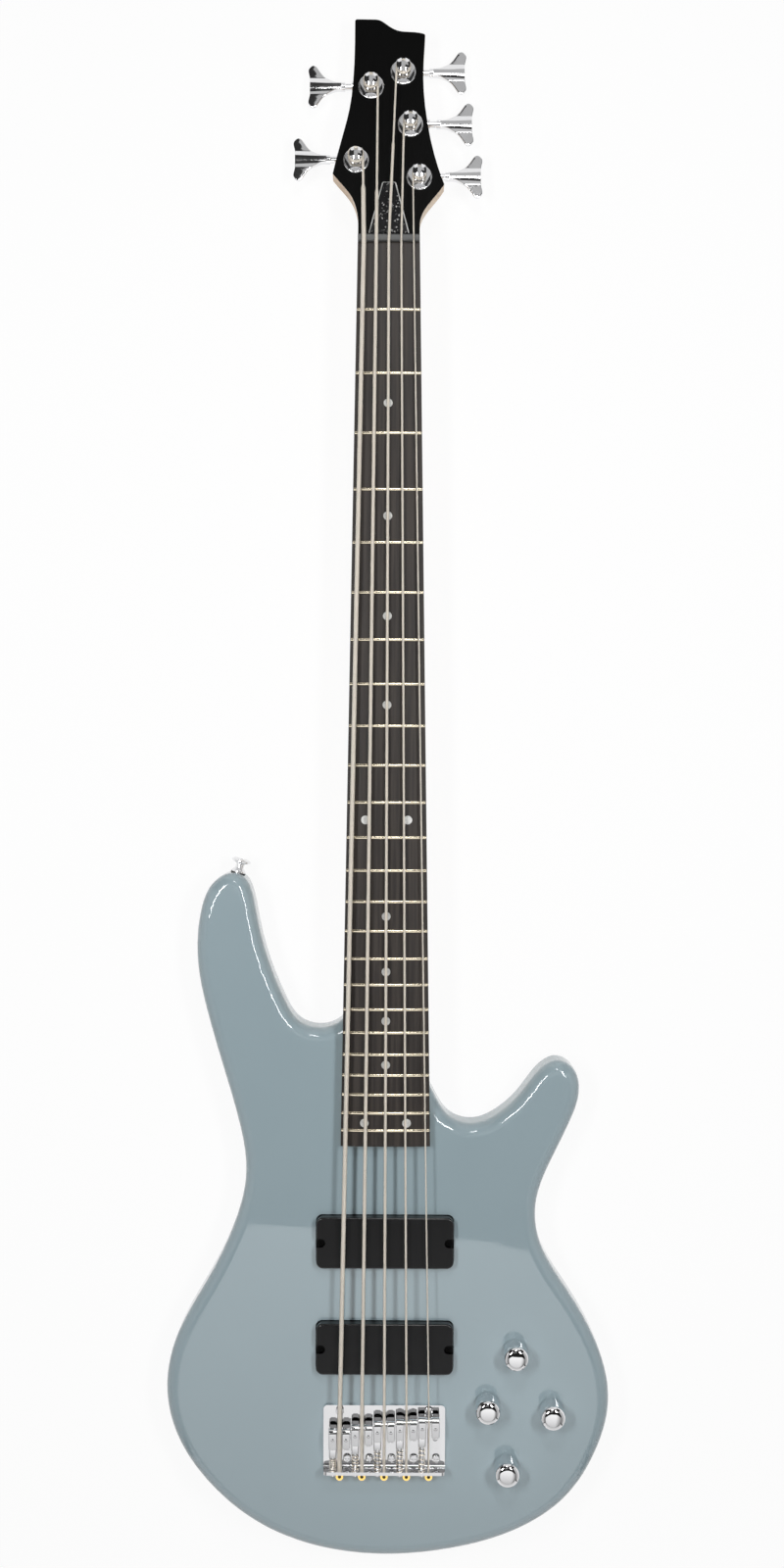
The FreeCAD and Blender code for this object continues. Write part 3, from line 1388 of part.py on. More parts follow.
def make_bridge_plate():
    owner = design_body("bridge_bend")
    profile = new_sketch(owner, "bridge_profile", role="YZ_Plane")
    top = body_top + s.bridge_wall_height
    draw_polygon(profile, [(bridge_rear, body_top), (s.bridge_front, body_top), (s.bridge_front, plate_top),
                           (wall_inner, plate_top), (wall_inner, top), (bridge_rear, top)])
    bent = pad(owner, profile, s.bridge_width, "bridge_bend", symmetric=True)

    def corner(edge):
        return upright(edge) and edge.BoundBox.YMin > s.bridge_front.value - CLOSE

    def wall_corner(edge):
        return edge_at_height(top)(edge) and edge.BoundBox.XLength < CLOSE

    def bend(edge):
        middle = edge.BoundBox.Center
        return abs(middle.y - wall_inner.value) < CLOSE and edge_at_height(plate_top)(edge)

    def outer_corner(edge):
        return corner(edge) or wall_corner(edge)

    cornered = fillet(owner, bent, outer_corner, s.bridge_corner_round, "corners")
    fillet(owner, cornered, bend, s.bridge_bend_round, "inside_bend")
    grooves = new_sketch(owner, "saddle_grooves", lift=plate_top)
    groove_y = s.bridge_front - s.bridge_groove_inset - s.bridge_groove_length / 2
    for x in string_x_bridge:
        for half in (-0.5, 0.5):
            draw_rounded_box(grooves, x + s.saddle_spread * half, groove_y, s.bridge_groove_width,
                             s.bridge_groove_length, s.bridge_groove_width * GROOVE_ROUND_SHARE)
    pocket(owner, grooves, s.bridge_groove_depth, "saddle_groove")
    holes = new_sketch(owner, "bridge_screw_holes", lift=plate_top)
    for x, y in bridge_screw_places:
        draw_circle(holes, x, y, s.bridge_screw_diameter / 2 + s.screw_fit_clearance)
    pocket(owner, holes, s.bridge_plate_thickness + s.cut_overrun, "bridge_screw_hole")
    wall = new_sketch(owner, "wall_holes", role="XZ_Plane", lift=s.cut_overrun - bridge_rear)
    wall_middle = bridge_rear + s.bridge_wall_thickness / 2
    for x, radius, crest in zip(string_x_bridge, string_radii, crest_stations):
        slope = (crest_height + radius - string_hole_height) / (crest - string_start)
        hole_height = string_hole_height + (wall_middle - string_start) * slope
        draw_circle(wall, x, hole_height, radius + s.string_hole_clearance)
        draw_circle(wall, x - s.intonation_offset, screw_axis_height,
                    s.intonation_screw_diameter / 2 + s.intonation_running_clearance)
    pocket(owner, wall, s.cut_overrun + s.bridge_wall_thickness * 2, "wall_hole")
    return node(owner, "bridge_plate")


def make_bridge_screws():
    screws = []
    for x, y in bridge_screw_places:
        fixing = screw(s.bridge_screw_head, s.bridge_screw_head_height, s.bridge_screw_diameter,
                       s.bridge_screw_length)
        screws.append(put(fixing, x, y, plate_top))
    return node(compound(screws, "bridge_screw_set"), "bridge_screws")


def make_saddle_column(x, corner_round):
    """One of a saddle's two columns: a round front, a top that falls to the back, soft edges."""
    owner = design_body("saddle_column")
    profile = new_sketch(owner, "column_profile", role="YZ_Plane")
    front, back, low = s.saddle_front.value, -s.saddle_back.value, -s.saddle_height.value
    top = s.saddle_column_rise.value
    fallen = top - s.saddle_column_fall.value
    nose = Part.Circle(V(0, top - front, 0), V(0, 0, 1), front)
    draw_line(profile, (front, low), (front, top - front))
    profile.addGeometry(Part.ArcOfCircle(nose, 0, half_pi), False)
    draw_line(profile, (0, top), (back, fallen))
    draw_line(profile, (back, fallen), (back, low))
    draw_line(profile, (back, low), (front, low))
    block = pad(owner, profile, s.saddle_column_width, "column_block", symmetric=True)

    def rear_corner(edge):
        return upright(edge) and edge.BoundBox.YMin < back + CLOSE

    def rim(edge):
        middle = edge.BoundBox.Center
        beside = edge.BoundBox.XLength < CLOSE and middle.z > low + CLOSE and not upright(edge)
        behind = middle.y < back + corner_round.value and edge.BoundBox.ZMin > low / 2
        return beside or behind

    cornered = fillet(owner, block, rear_corner, corner_round, "column_corners")
    fillet(owner, cornered, rim, s.saddle_edge_round, "column_edges")
    return put(owner, x)


def make_saddle_bar():
    """The bar between the columns that carries the string on its crest."""
    owner = design_body("saddle_bar")
    profile = new_sketch(owner, "bar_profile", role="YZ_Plane")
    crest, low = s.saddle_crest_radius.value, -s.saddle_height.value
    tail = V(-s.saddle_bar_back.value, -s.saddle_tail_drop.value, 0)
    centre = V(0, -crest, 0)
    reach = tail - centre
    angle = math.atan2(reach.y, reach.x) - math.acos(crest / reach.Length)
    touch = centre + V(math.cos(angle), math.sin(angle), 0) * crest
    draw_line(profile, (crest, low), (crest, -crest))
    profile.addGeometry(Part.ArcOfCircle(Part.Circle(centre, V(0, 0, 1), crest), 0, angle), False)
    draw_line(profile, (touch.x, touch.y), (tail.x, tail.y))
    draw_line(profile, (tail.x, tail.y), (tail.x, low))
    draw_line(profile, (tail.x, low), (crest, low))
    pad(owner, profile, s.saddle_spread, "bar_block", symmetric=True)
    return owner


def make_saddle(index):
    left, right = s.saddle_spread * -0.5, s.saddle_spread * 0.5
    axis = screw_axis_height - saddle_level
    tail_end = -s.saddle_back - s.saddle_tube_length
    sleeve = cylinder(s.saddle_tube_diameter / 2, s.saddle_tube_length + s.saddle_tube_diameter, "sleeve")
    put(sleeve, -s.intonation_offset, tail_end, axis, ALONG_Y)
    pieces = [make_saddle_column(left, s.saddle_shoulder_round),
              make_saddle_column(right, s.saddle_tongue_round), make_saddle_bar(), sleeve]
    station = -s.height_screw_station
    hole_end = station - s.height_screw_diameter / 2 - s.saddle_inner_wall
    bore = s.intonation_screw_diameter / 2 + s.intonation_running_clearance
    screw_hole = cylinder(bore, hole_end - tail_end, "screw_hole")
    cutters = [put(screw_hole, -s.intonation_offset, tail_end, axis, ALONG_Y)]
    height_screws = []
    foot = plate_top - s.bridge_groove_depth + s.screw_fit_clearance / 2 - saddle_level
    top = s.saddle_column_rise - s.height_screw_recess
    for x in (left, right):
        hole_radius = s.height_screw_diameter / 2 + s.screw_fit_clearance / 2
        hole = cylinder(hole_radius, s.saddle_height * 2, "column_hole")
        cutters.append(put(hole, x, station, -s.saddle_height))
        height_screw = cylinder(s.height_screw_diameter / 2, top - foot, "height_screw")
        socket = hexagon(s.height_socket, s.height_screw_diameter / 2, "height_socket")
        put(height_screw, x, station, foot)
        put(socket, x, station, top - s.height_screw_diameter / 2)
        height_screws.append(cut(height_screw, socket, name="height_screw"))
    whole = compound([cut(fuse(*pieces), *cutters, name="saddle")] + height_screws, "saddle_set")
    put(whole, string_x_bridge[index], crest_stations[index], saddle_level)
    return node(whole, f"saddle_{STRING_NAMES[index]}")


def make_intonation_screw(index):
    x = string_x_bridge[index] - s.intonation_offset
    back = bridge_rear - s.spring_end_gap - s.intonation_head_height
    tip = crest_stations[index] - s.intonation_screw_tip
    shaft = put(cylinder(s.intonation_screw_diameter / 2, tip - back), x, back, screw_axis_height, ALONG_Y)
    head = cylinder(s.intonation_head_diameter / 2, s.intonation_head_height, "intonation_head")
    put(head, x, back, screw_axis_height, ALONG_Y)
    socket = hexagon(s.height_socket, s.intonation_head_height / 2, "intonation_socket")
    put(socket, x, back, screw_axis_height, ALONG_Y)
    whole = cut(fuse(head, shaft), socket, name="long_screw")
    return node(whole, f"intonation_screw_{STRING_NAMES[index]}")


SPRING_HALF_TURNS = 10
SAMPLES_PER_ARC = 8


def make_springs():
    wire = s.spring_wire.value / 2
    ring = s.spring_diameter.value / 2 - wire
    coils = []
    for x, crest in zip(string_x_bridge, crest_stations):
        start = (wall_inner + s.spring_end_gap).value + wire
        end = (crest - s.saddle_back - s.saddle_tube_length - s.spring_end_gap).value - wire
        rise = (end - start) / SPRING_HALF_TURNS
        centre_x = (x - s.intonation_offset).value
        edges = []
        for half in range(SPRING_HALF_TURNS):
            flip = 1 - half % 2 * 2
            way = V(0, rise, flip * math.pi * ring).normalize()
            next_way = V(0, rise, -flip * math.pi * ring).normalize()
            here = V(centre_x + flip * ring, start + rise * half, screw_axis_height.value)
            there = V(centre_x - flip * ring, start + rise * (half + 1), screw_axis_height.value)
            edges += biarc(here, way, there, next_way)
        coils.append(tube(edges, wire, "spring"))
        points = [point for edge in edges for point in edge.discretize(SAMPLES_PER_ARC)]
        print(f"spring: least gap {least_gap(points, wire * 2, SAMPLES_PER_ARC * 3):.2f} mm")
    item = doc.addObject("Part::Feature", "spring_set")
    item.Shape = Part.makeCompound(coils)
    return node(item, "intonation_springs")


def make_ball_ends():
    balls = []
    for x in string_x_bridge:
        ring = cylinder(s.ball_diameter / 2, s.ball_height, "ball")
        hole = cylinder(s.ball_hole / 2, s.ball_height, "ball_hole")
        y = bridge_rear - s.ball_gap - s.ball_diameter / 2
        balls.append(put(cut(ring, hole), x, y, string_hole_height - s.ball_height / 2))
    return node(compound(balls, "ball_set"), "string_ball_ends")


# Pickups: a hollow cover over two coils and magnets, on a block of foam
COIL_ROUND_SHARE = 0.45


def make_pickup_cover(station):
    owner = design_body("pickup_cover")
    plan = new_sketch(owner, "cover_plan")
    draw_rounded_box(plan, 0, 0, s.pickup_length, s.pickup_width, s.pickup_corner_round)
    block = pad(owner, plan, s.pickup_height, "cover_block")
    fillet(owner, block, edge_at_height(s.pickup_height), s.pickup_edge_round, "cover_edges")
    hollow = new_sketch(owner, "cover_hollow")
    inner = s.pickup_screw_spread - s.pickup_notch_diameter - s.pickup_wall * 2
    draw_rounded_box(hollow, 0, 0, inner, s.pickup_width - s.pickup_wall * 2, s.pickup_corner_round)
    pocket(owner, hollow, s.pickup_height - s.pickup_wall, "cover_hollow", upward=True)
    notch = new_sketch(owner, "screw_notch", lift=s.pickup_height)
    ends = new_sketch(owner, "notch_mouth", lift=s.pickup_height)
    ways = new_sketch(owner, "cover_screw_way", lift=s.pickup_height)
    mouth = s.pickup_notch_diameter / 2
    for half in (-0.5, 0.5):
        x = s.pickup_screw_spread * half
        out = (s.pickup_length + s.pickup_notch_diameter) * half
        draw_circle(notch, x, 0, mouth)
        draw_polygon(ends, [(x, -mouth), (out, -mouth), (out, mouth), (x, mouth)])
        draw_circle(ways, x, 0, s.pickup_screw_diameter / 2 + s.screw_fit_clearance)
    pocket(owner, notch, s.pickup_notch_depth, "screw_notch")
    pocket(owner, ends, s.pickup_notch_depth, "notch_mouth")
    pocket(owner, ways, s.pickup_height, "cover_screw_way")
    return put(owner, 0, station, pickup_bottom)


def make_coils(station):
    top = pickup_top - s.pickup_wall - s.screw_fit_clearance
    cores = []
    for half in (-0.5, 0.5):
        y = station + s.coil_spacing * half
        coil = box(s.coil_length, s.coil_width, s.coil_height, "coil")
        put(coil, s.coil_length * -0.5, y - s.coil_width / 2, top - s.coil_height)
        rounded = round_edges(coil, s.coil_width * COIL_ROUND_SHARE, upright, "coil_round")
        bar_length = s.coil_length - s.coil_width
        slot = box(bar_length, s.magnet_width, s.coil_height, "magnet_slot")
        put(slot, bar_length * -0.5, y - s.magnet_width / 2, top - s.coil_height)
        magnet = box(bar_length, s.magnet_width, s.coil_height, "magnet")
        put(magnet, bar_length * -0.5, y - s.magnet_width / 2, top - s.coil_height)
        cores += [cut(rounded, slot, name="coil"), magnet]
    return cores


def make_pickups():
    covers, cores, screws, foams = [], [], [], []
    for station in pickup_stations:
        covers.append(make_pickup_cover(station))
        cores += make_coils(station)
        foam = box(s.foam_length, s.foam_width, pickup_bottom - body_top + s.pickup_rout_depth, "foam")
        floor = body_top - s.pickup_rout_depth
        foams.append(put(foam, s.foam_length * -0.5, station - s.foam_width / 2, floor))
        for half in (-0.5, 0.5):
            fixing = screw(s.pickup_screw_head, s.pickup_screw_head_height, s.pickup_screw_diameter,
                           s.pickup_screw_length)
            screws.append(put(fixing, s.pickup_screw_spread * half, station, pickup_shelf))
    node(compound(covers, "pickup_cover_set"), "pickup_covers")
    node(compound(cores, "pickup_core_set"), "pickup_cores")
    node(compound(screws, "pickup_screw_set"), "pickup_screws")
    node(compound(foams, "pickup_foam_set"), "pickup_foam")


# Controls
knob_base = body_top + s.knob_gap
pot_level = cavity_depth
bore_radius = s.pot_shaft_diameter / 2 + s.pot_running_clearance


def turned(owner, profile, name):
    feature = owner.newObject("PartDesign::Revolution", name)
    feature.Profile = profile
    feature.ReferenceAxis = (profile, ["V_Axis"])
    feature.Angle = 360
    return feature


def make_knob(index):
    owner = design_body("knob_turning")
    profile = new_sketch(owner, "knob_profile", role="XZ_Plane")
    radius, top = s.knob_diameter.value / 2, s.knob_height.value
    shoulder = top - s.knob_dome.value
    ball = (radius ** 2 + s.knob_dome.value ** 2) / (2 * s.knob_dome.value)
    half = math.asin(radius / ball) / 2
    middle = V(ball * math.sin(half), top - ball + ball * math.cos(half), 0)
    draw_line(profile, (0, 0), (radius, 0))
    draw_line(profile, (radius, 0), (radius, shoulder))
    profile.addGeometry(Part.Arc(V(radius, shoulder, 0), middle, V(0, top, 0)), False)
    draw_line(profile, (0, top), (0, 0))
    solid = turned(owner, profile, "knob_turning")
    fillet(owner, solid, edge_at_height(shoulder), s.knob_edge_round, "knob_edge")
    bore = new_sketch(owner, "knob_bore")
    draw_circle(bore, 0, 0, bore_radius)
    pocket(owner, bore, s.knob_bore_depth, "knob_bore", upward=True)
    recess = new_sketch(owner, "knob_recess")
    draw_circle(recess, 0, 0, s.knob_recess_diameter / 2)
    pocket(owner, recess, s.knob_recess_depth, "knob_recess", upward=True)
    below = knob_base - pot_level + s.pot_shaft_depth
    shaft_length = below + s.knob_bore_depth - s.screw_fit_clearance
    shaft = cylinder(s.pot_shaft_diameter / 2, shaft_length, "pot_shaft")
    put(shaft, 0, 0, -below)
    x, y = knob_places[index]
    return node(put(compound([owner, shaft], "knob_set"), x, y, knob_base), f"knob_{index + 1}")


def make_controls():
    cans, nuts = [], []
    bushing_length = s.top_wall + s.pot_nut_height + s.pot_thread_rise
    for x, y in knob_places:
        can = put(cylinder(s.pot_can_diameter / 2, s.pot_can_depth), 0, 0, -s.pot_can_depth)
        neck = cylinder(s.pot_bushing_diameter / 2, bushing_length, "pot_bushing")
        room = cylinder(bore_radius, bushing_length + s.pot_shaft_depth * 2, "pot_bore")
        put(room, 0, 0, s.pot_shaft_depth * -2)
        cans.append(put(cut(fuse(can, neck), room, name="pot"), x, y, pot_level))
        ring = hexagon(s.pot_nut_size, s.pot_nut_height, "pot_nut")
        hole = cylinder(s.pot_bushing_diameter / 2 + s.screw_fit_clearance, s.pot_nut_height, "nut_hole")
        nuts.append(put(cut(ring, hole), x, y, body_top))
    node(compound(cans, "pot_set"), "pots")

    out_end = s.jack_flange_thickness + s.jack_nut_height + s.screw_fit_clearance
    barrel = cylinder(s.jack_barrel_diameter / 2, s.jack_barrel_length + out_end, "jack_barrel")
    put(barrel, 0, 0, -s.jack_barrel_length)
    flange = cylinder(s.jack_flange_diameter / 2, s.jack_flange_thickness, "jack_flange")
    bore = cylinder(s.jack_bore / 2, s.jack_barrel_length + out_end - s.jack_flange_thickness, "jack_bore")
    put(bore, 0, 0, s.jack_flange_thickness - s.jack_barrel_length)
    jack = cut(fuse(barrel, flange), bore, name="jack")
    node(jack_local(jack, 0), "output_jack")
    ring = hexagon(s.jack_nut_size, s.jack_nut_height, "jack_nut")
    hole = cylinder(s.jack_barrel_diameter / 2 + s.screw_fit_clearance, s.jack_nut_height, "jack_nut_hole")
    nuts.append(jack_local(cut(ring, hole), s.jack_flange_thickness))
    node(compound(nuts, "nut_set"), "control_nuts")


def make_control_cover():
    owner = design_body("control_plate")
    plan = new_sketch(owner, "control_plate_plan")
    lip = s.control_cover_lip
    draw_rounded_box(plan, cavity_x, cavity_y, cavity_width + lip * 2, cavity_length + lip * 2,
                     s.cavity_corner_round + lip)
    pad(owner, plan, s.control_cover_thickness, "control_plate")
    holes = new_sketch(owner, "control_plate_holes")
    sinks = new_sketch(owner, "control_plate_sinks")
    for x, y in control_screw_places:
        draw_circle(holes, x, y, s.small_screw_diameter / 2 + s.screw_fit_clearance)
        draw_circle(sinks, x, y, s.small_screw_head / 2 + s.screw_fit_clearance)
    pocket(owner, holes, s.control_cover_thickness, "control_plate_hole", upward=True)
    pocket(owner, sinks, s.small_screw_recess, "control_plate_sink", upward=True)
    put(owner, 0, 0, s.control_cover_clearance)
    return node(owner, "control_cover")


# Neck bolts, each in a recessed cup in the back
def make_neck_bolts():
    cups, bolts = [], []
    head_seat = s.ferrule_recess * 2 + s.neck_screw_head_height
    for x, y in ferrule_places:
        cup = cylinder(s.ferrule_diameter / 2, s.ferrule_depth - s.ferrule_recess, "cup")
        put(cup, x, y, s.ferrule_recess)
        seat = put(cylinder(s.neck_screw_head / 2 + s.screw_fit_clearance, head_seat), x, y, 0)
        hole = cylinder(s.neck_screw_diameter / 2 + s.screw_fit_clearance, s.ferrule_depth, "cup_hole")
        cups.append(cut(cup, seat, put(hole, x, y, 0), name="cup"))
        length = pocket_floor + s.neck_screw_bite - head_seat
        bolt = screw(s.neck_screw_head, s.neck_screw_head_height, s.neck_screw_diameter, length)
        bolts.append(put(bolt, x, y, head_seat, UPSIDE_DOWN))
    node(compound(cups, "cup_set"), "neck_ferrules")
    node(compound(bolts, "bolt_set"), "neck_screws")


# Strap button: shares of its head's radius and of its height
STRAP_PROFILE_SHARES = ((0.754, 0.0), (0.754, 0.12), (0.464, 0.32), (0.464, 0.64), (1.0, 0.80),
                        (1.0, 0.91), (0.87, 1.0))


def make_strap_button():
    owner = design_body("strap_turning")
    profile = new_sketch(owner, "strap_profile", role="XZ_Plane")
    hole = s.strap_screw_diameter / 2 + s.screw_fit_clearance
    sink = s.strap_screw_head / 2 + s.screw_fit_clearance
    floor = s.strap_height - s.strap_screw_head_height
    outside = [(s.strap_head_diameter * (out / 2), s.strap_height * up) for out, up in STRAP_PROFILE_SHARES]
    inside = [(sink, s.strap_height), (sink, floor), (hole, floor)]
    draw_polygon(profile, [(hole, as_size(0))] + outside + inside)
    turned(owner, profile, "strap_turning")
    node(strap_local(owner, s.felt_thickness), "strap_button")
    fixing = screw(s.strap_screw_head, s.strap_screw_head_height, s.strap_screw_diameter,
                   s.strap_screw_length)
    node(strap_local(fixing, s.felt_thickness + floor), "strap_button_screw")
    disc = cylinder(s.felt_diameter / 2, s.felt_thickness, "felt")
    felt_hole = cylinder(hole, s.felt_thickness, "felt_hole")
    node(strap_local(cut(disc, felt_hole, name="felt_ring"), 0), "strap_button_felt")


def make_wiring():
    level = channel_height - s.wire_channel_diameter / 2 + s.cable_diameter / 2
    low = pickup_stations[1] + s.pickup_width / 2
    between = cylinder(s.cable_diameter / 2, pickup_stations[0] - s.pickup_width / 2 - low, "lead_between")
    put(between, lead_x, low, level, ALONG_Y)
    start = s.pickup_length / 2
    across = cylinder(s.cable_diameter / 2, cavity_x - start, "lead_across")
    put(across, start, lead_y, level, ALONG_X)
    return node(compound([between, across], "lead_set"), "wiring")


make_body()
make_neck()
make_frets()
make_fretboard()
make_nut()
for index in range(len(STRING_NAMES)):
    make_string(index)
make_truss_rod()
make_truss_cover()
make_cover_screws()
make_tuners()
make_bridge_plate()
make_bridge_screws()
for index in range(len(STRING_NAMES)):
    make_saddle(index)
    make_intonation_screw(index)
make_springs()
make_ball_ends()
make_pickups()
for index in range(len(knob_places)):
    make_knob(index)
make_controls()
make_control_cover()
make_neck_bolts()
make_strap_button()
make_wiring()
doc.recompute()

faults = [item.Label for item in doc.Objects if "Invalid" in item.State or "Error" in item.State]
faults += [item.Label for item in nodes if item.Shape.isNull() or not item.Shape.isValid()]
if faults:
    raise RuntimeError(f"not sound: {faults}")
os.makedirs("parts", exist_ok=True)
for item in nodes:
    item.Shape.exportStep(f"parts/{item.Label}.step")
print(f"{len(nodes)} nodes written")
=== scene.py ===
"""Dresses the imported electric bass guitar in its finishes, and lights it softly on a white floor."""

import json
import math

import bpy
from bpy.props import FloatProperty, FloatVectorProperty, PointerProperty
from mathutils import Matrix, Vector


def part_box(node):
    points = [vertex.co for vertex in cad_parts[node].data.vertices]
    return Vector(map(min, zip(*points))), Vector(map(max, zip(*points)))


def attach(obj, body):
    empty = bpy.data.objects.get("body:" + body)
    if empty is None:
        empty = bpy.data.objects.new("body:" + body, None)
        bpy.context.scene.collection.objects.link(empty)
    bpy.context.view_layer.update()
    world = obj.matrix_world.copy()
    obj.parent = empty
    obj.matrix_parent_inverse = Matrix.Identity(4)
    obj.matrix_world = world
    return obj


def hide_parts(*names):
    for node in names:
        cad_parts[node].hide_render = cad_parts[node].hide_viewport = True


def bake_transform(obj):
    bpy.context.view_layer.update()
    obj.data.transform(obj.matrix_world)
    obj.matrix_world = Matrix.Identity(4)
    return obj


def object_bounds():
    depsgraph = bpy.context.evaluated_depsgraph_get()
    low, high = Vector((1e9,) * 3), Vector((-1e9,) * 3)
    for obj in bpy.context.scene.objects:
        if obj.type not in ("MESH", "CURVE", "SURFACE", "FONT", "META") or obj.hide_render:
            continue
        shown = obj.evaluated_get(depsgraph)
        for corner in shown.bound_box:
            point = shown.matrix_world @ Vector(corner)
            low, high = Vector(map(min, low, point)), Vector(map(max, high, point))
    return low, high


bl_info = {
    "name": "Electric Bass Guitar",
    "version": (1, 0, 0),
    "blender": (4, 5, 0),
    "location": "View3D > Sidebar > Bass",
    "description": "Finishes, light and camera for the packed electric bass guitar",
    "category": "Object",
}

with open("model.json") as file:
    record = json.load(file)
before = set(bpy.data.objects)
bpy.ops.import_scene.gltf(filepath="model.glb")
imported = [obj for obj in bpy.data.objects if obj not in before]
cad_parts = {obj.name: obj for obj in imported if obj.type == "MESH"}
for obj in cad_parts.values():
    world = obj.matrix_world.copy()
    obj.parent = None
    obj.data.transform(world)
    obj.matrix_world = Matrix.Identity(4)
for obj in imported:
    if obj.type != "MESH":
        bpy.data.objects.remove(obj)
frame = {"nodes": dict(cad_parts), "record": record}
cad_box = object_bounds()

# The body that carries each CAD node
carrier = {node: body for body, group in frame["record"]["behaviour"]["bodies"].items() for node in group}

# The strings from the thickest to the thinnest, and the knobs
STRINGS = "beadg"
KNOBS = "1234"

# Steps of a full turn, of an arc in its outline, of an egg shape, and of the rounding of heads and tails
TURN_STEPS = 72
ARC_STEPS = 10
EGG_STEPS = 96
HEAD_STEPS = 6
TAIL_STEPS = 4

# The rim of a round end starts at this share of its reach
RIM_SHARE = 0.9

# How much the size of a face counts where flat faces lead the shading
FLAT_WEIGHT = 100

# How squarely a face of the headstock looks along head_way, at the least, to be black
HEAD_FACING = 0.99

# How squarely the bevel of the truss rod's cover looks along head_way, and the least of it along the neck
BEVEL_FACING = (0.5, 0.9)
FOOT_FACING = -0.3

# How squarely the top of a pickup looks up, at the least
TOP_FACING = 0.95

# The attribute for how far a corner looks up, and where painted shade on plating starts by it and is
# darkest
# Upward faces of plating are painted darker, to dim the reflection of the light overhead
UPWARD = "upward"
TOP_SHADE_START = 0.50
TOP_SHADE_FULL = 0.95

# Most values of a noise lie between these limits
NOISE_LIMITS = (0.3, 0.7)

# A wave texture turns this many radians to the unit at scale one
WAVE_RATE = 20.0

WHITE = (1.0, 1.0, 1.0, 1.0)

# Height of the picture in pixels, and of the camera's sensor in millimetres
PICTURE_HEIGHT = 1600
SENSOR_HEIGHT = 36.0

# Cards show only in reflections, and lamps light the instrument too. Each faces its target. Lengths are in
# metres, and a radiance of one is white.
CARDS = {
    "sweep_behind": {"place": (0.0, -1.22, 0.77), "target": (0.0, 0.0, 0.77),
                     "width": 2.4, "depth": 1.54, "radiance": 1.3},
    "left_wall": {"place": (-1.4, -0.1, 0.78), "target": (0.0, -0.1, 0.78),
                  "width": 2.2, "depth": 1.55, "radiance": 0.80},
    "right_wall": {"place": (1.4, -0.1, 0.78), "target": (0.0, -0.1, 0.78),
                   "width": 2.2, "depth": 1.55, "radiance": 0.80},
    "camera_card": {"place": (0.0, 0.52, 1.52), "target": (0.0, 0.52, 0.0),
                    "width": 0.40, "depth": 0.50, "radiance": 0.55},
    "far_fill": {"place": (0.725, 2.3, 1.40), "target": (0.725, 2.3, 0.0),
                 "width": 1.6, "depth": 1.4, "radiance": 0.45},
    "far_wall": {"place": (0.0, 3.0, 0.70), "target": (0.0, 0.0, 0.70),
                 "width": 3.2, "depth": 1.38, "radiance": 0.90},
}
LAMPS = {
    "left_softbox": {"place": (-0.56, 0.60, 1.26), "target": (0.0, 0.60, 0.0),
                     "width": 0.60, "depth": 0.16, "radiance": 25.0},
    "right_softbox": {"place": (0.58, 0.60, 1.26), "target": (0.0, 0.60, 0.0),
                      "width": 0.60, "depth": 0.16, "radiance": 25.0},
    "far_softbox": {"place": (0.05, 1.24, 1.00), "target": (0.0, 0.3, 0.0),
                    "width": 0.24, "depth": 0.20, "radiance": 18.0},
}


def colour(name, description, default):
    return FloatVectorProperty(name=name, description=description, default=default, size=3, subtype="COLOR",
                               min=0.0, max=1.0)


def length(name, description, default):
    return FloatProperty(name=name, description=description, default=default, unit="LENGTH")


def angle(name, description, default):
    return FloatProperty(name=name, description=description, default=math.radians(default), unit="ROTATION")


def amount(name, description, default):
    return FloatProperty(name=name, description=description, default=default, min=0.0)


class BassFinishes(bpy.types.PropertyGroup):
    """Colours of the finishes."""

    lacquer: colour("Lacquer", "Pale grey-blue of the body", (0.300, 0.385, 0.420))
    lacquer_deep: colour("Lacquer deep", "The body's colour where it is deeper", (0.292, 0.376, 0.412))
    maple: colour("Maple", "Wood of the neck", (0.74, 0.55, 0.36))
    maple_vein: colour("Maple vein", "Darker lines in the neck's wood", (0.62, 0.42, 0.25))
    head_black: colour("Black", "Headstock's face, black screws and glossy edges", (0.0015, 0.0015, 0.0015))
    board: colour("Board", "Dark wood of the fretboard", (0.019, 0.014, 0.012))
    board_vein: colour("Board vein", "Lighter grain of the fretboard", (0.034, 0.026, 0.021))
    chrome: colour("Chrome", "Plated metal", (0.84, 0.84, 0.85))
    # Painted shade: upward faces of plating take this darker colour, to dim the reflection of the light
    # overhead
    chrome_top_shade: colour("Chrome top", "Plated metal dulled by wear where it faces up", (0.42, 0.42, 0.425))
    fret_wire: colour("Fret wire", "Nickel of the frets", (0.78, 0.70, 0.54))
    wrap_wire: colour("Wrap wire", "Nickel of the strings and the bridge's springs", (0.98, 0.90, 0.78))
    brass: colour("Brass", "Ball ends and coils", (0.80, 0.52, 0.16))
    steel: colour("Steel", "Small steel pieces", (0.55, 0.55, 0.56))
    black_plastic: colour("Black plastic", "Pickup covers and the back cover", (0.006, 0.006, 0.0065))
    nut_black: colour("Nut", "Dark grey of the nut", (0.085, 0.087, 0.086))
    pearl: colour("Pearl", "Position dots, and the edge of the truss rod's cover", (0.80, 0.80, 0.78))
    pearl_shade: colour("Pearl shade", "Position dots where they are darker", (0.66, 0.66, 0.64))
    flake: colour("Flake", "Pearl flakes in the truss rod's cover", (0.45, 0.45, 0.44))
    flake_edge: colour("Flake edge", "Edges of those flakes", (0.05, 0.05, 0.05))
    flake_ground: colour("Flake ground", "Black between those flakes", (0.004, 0.004, 0.005))
    felt: colour("Felt", "Felt under the strap button, foam and leads", (0.010, 0.010, 0.010))
    floor: colour("Floor", "Floor under the instrument", (0.9, 0.9, 0.9))


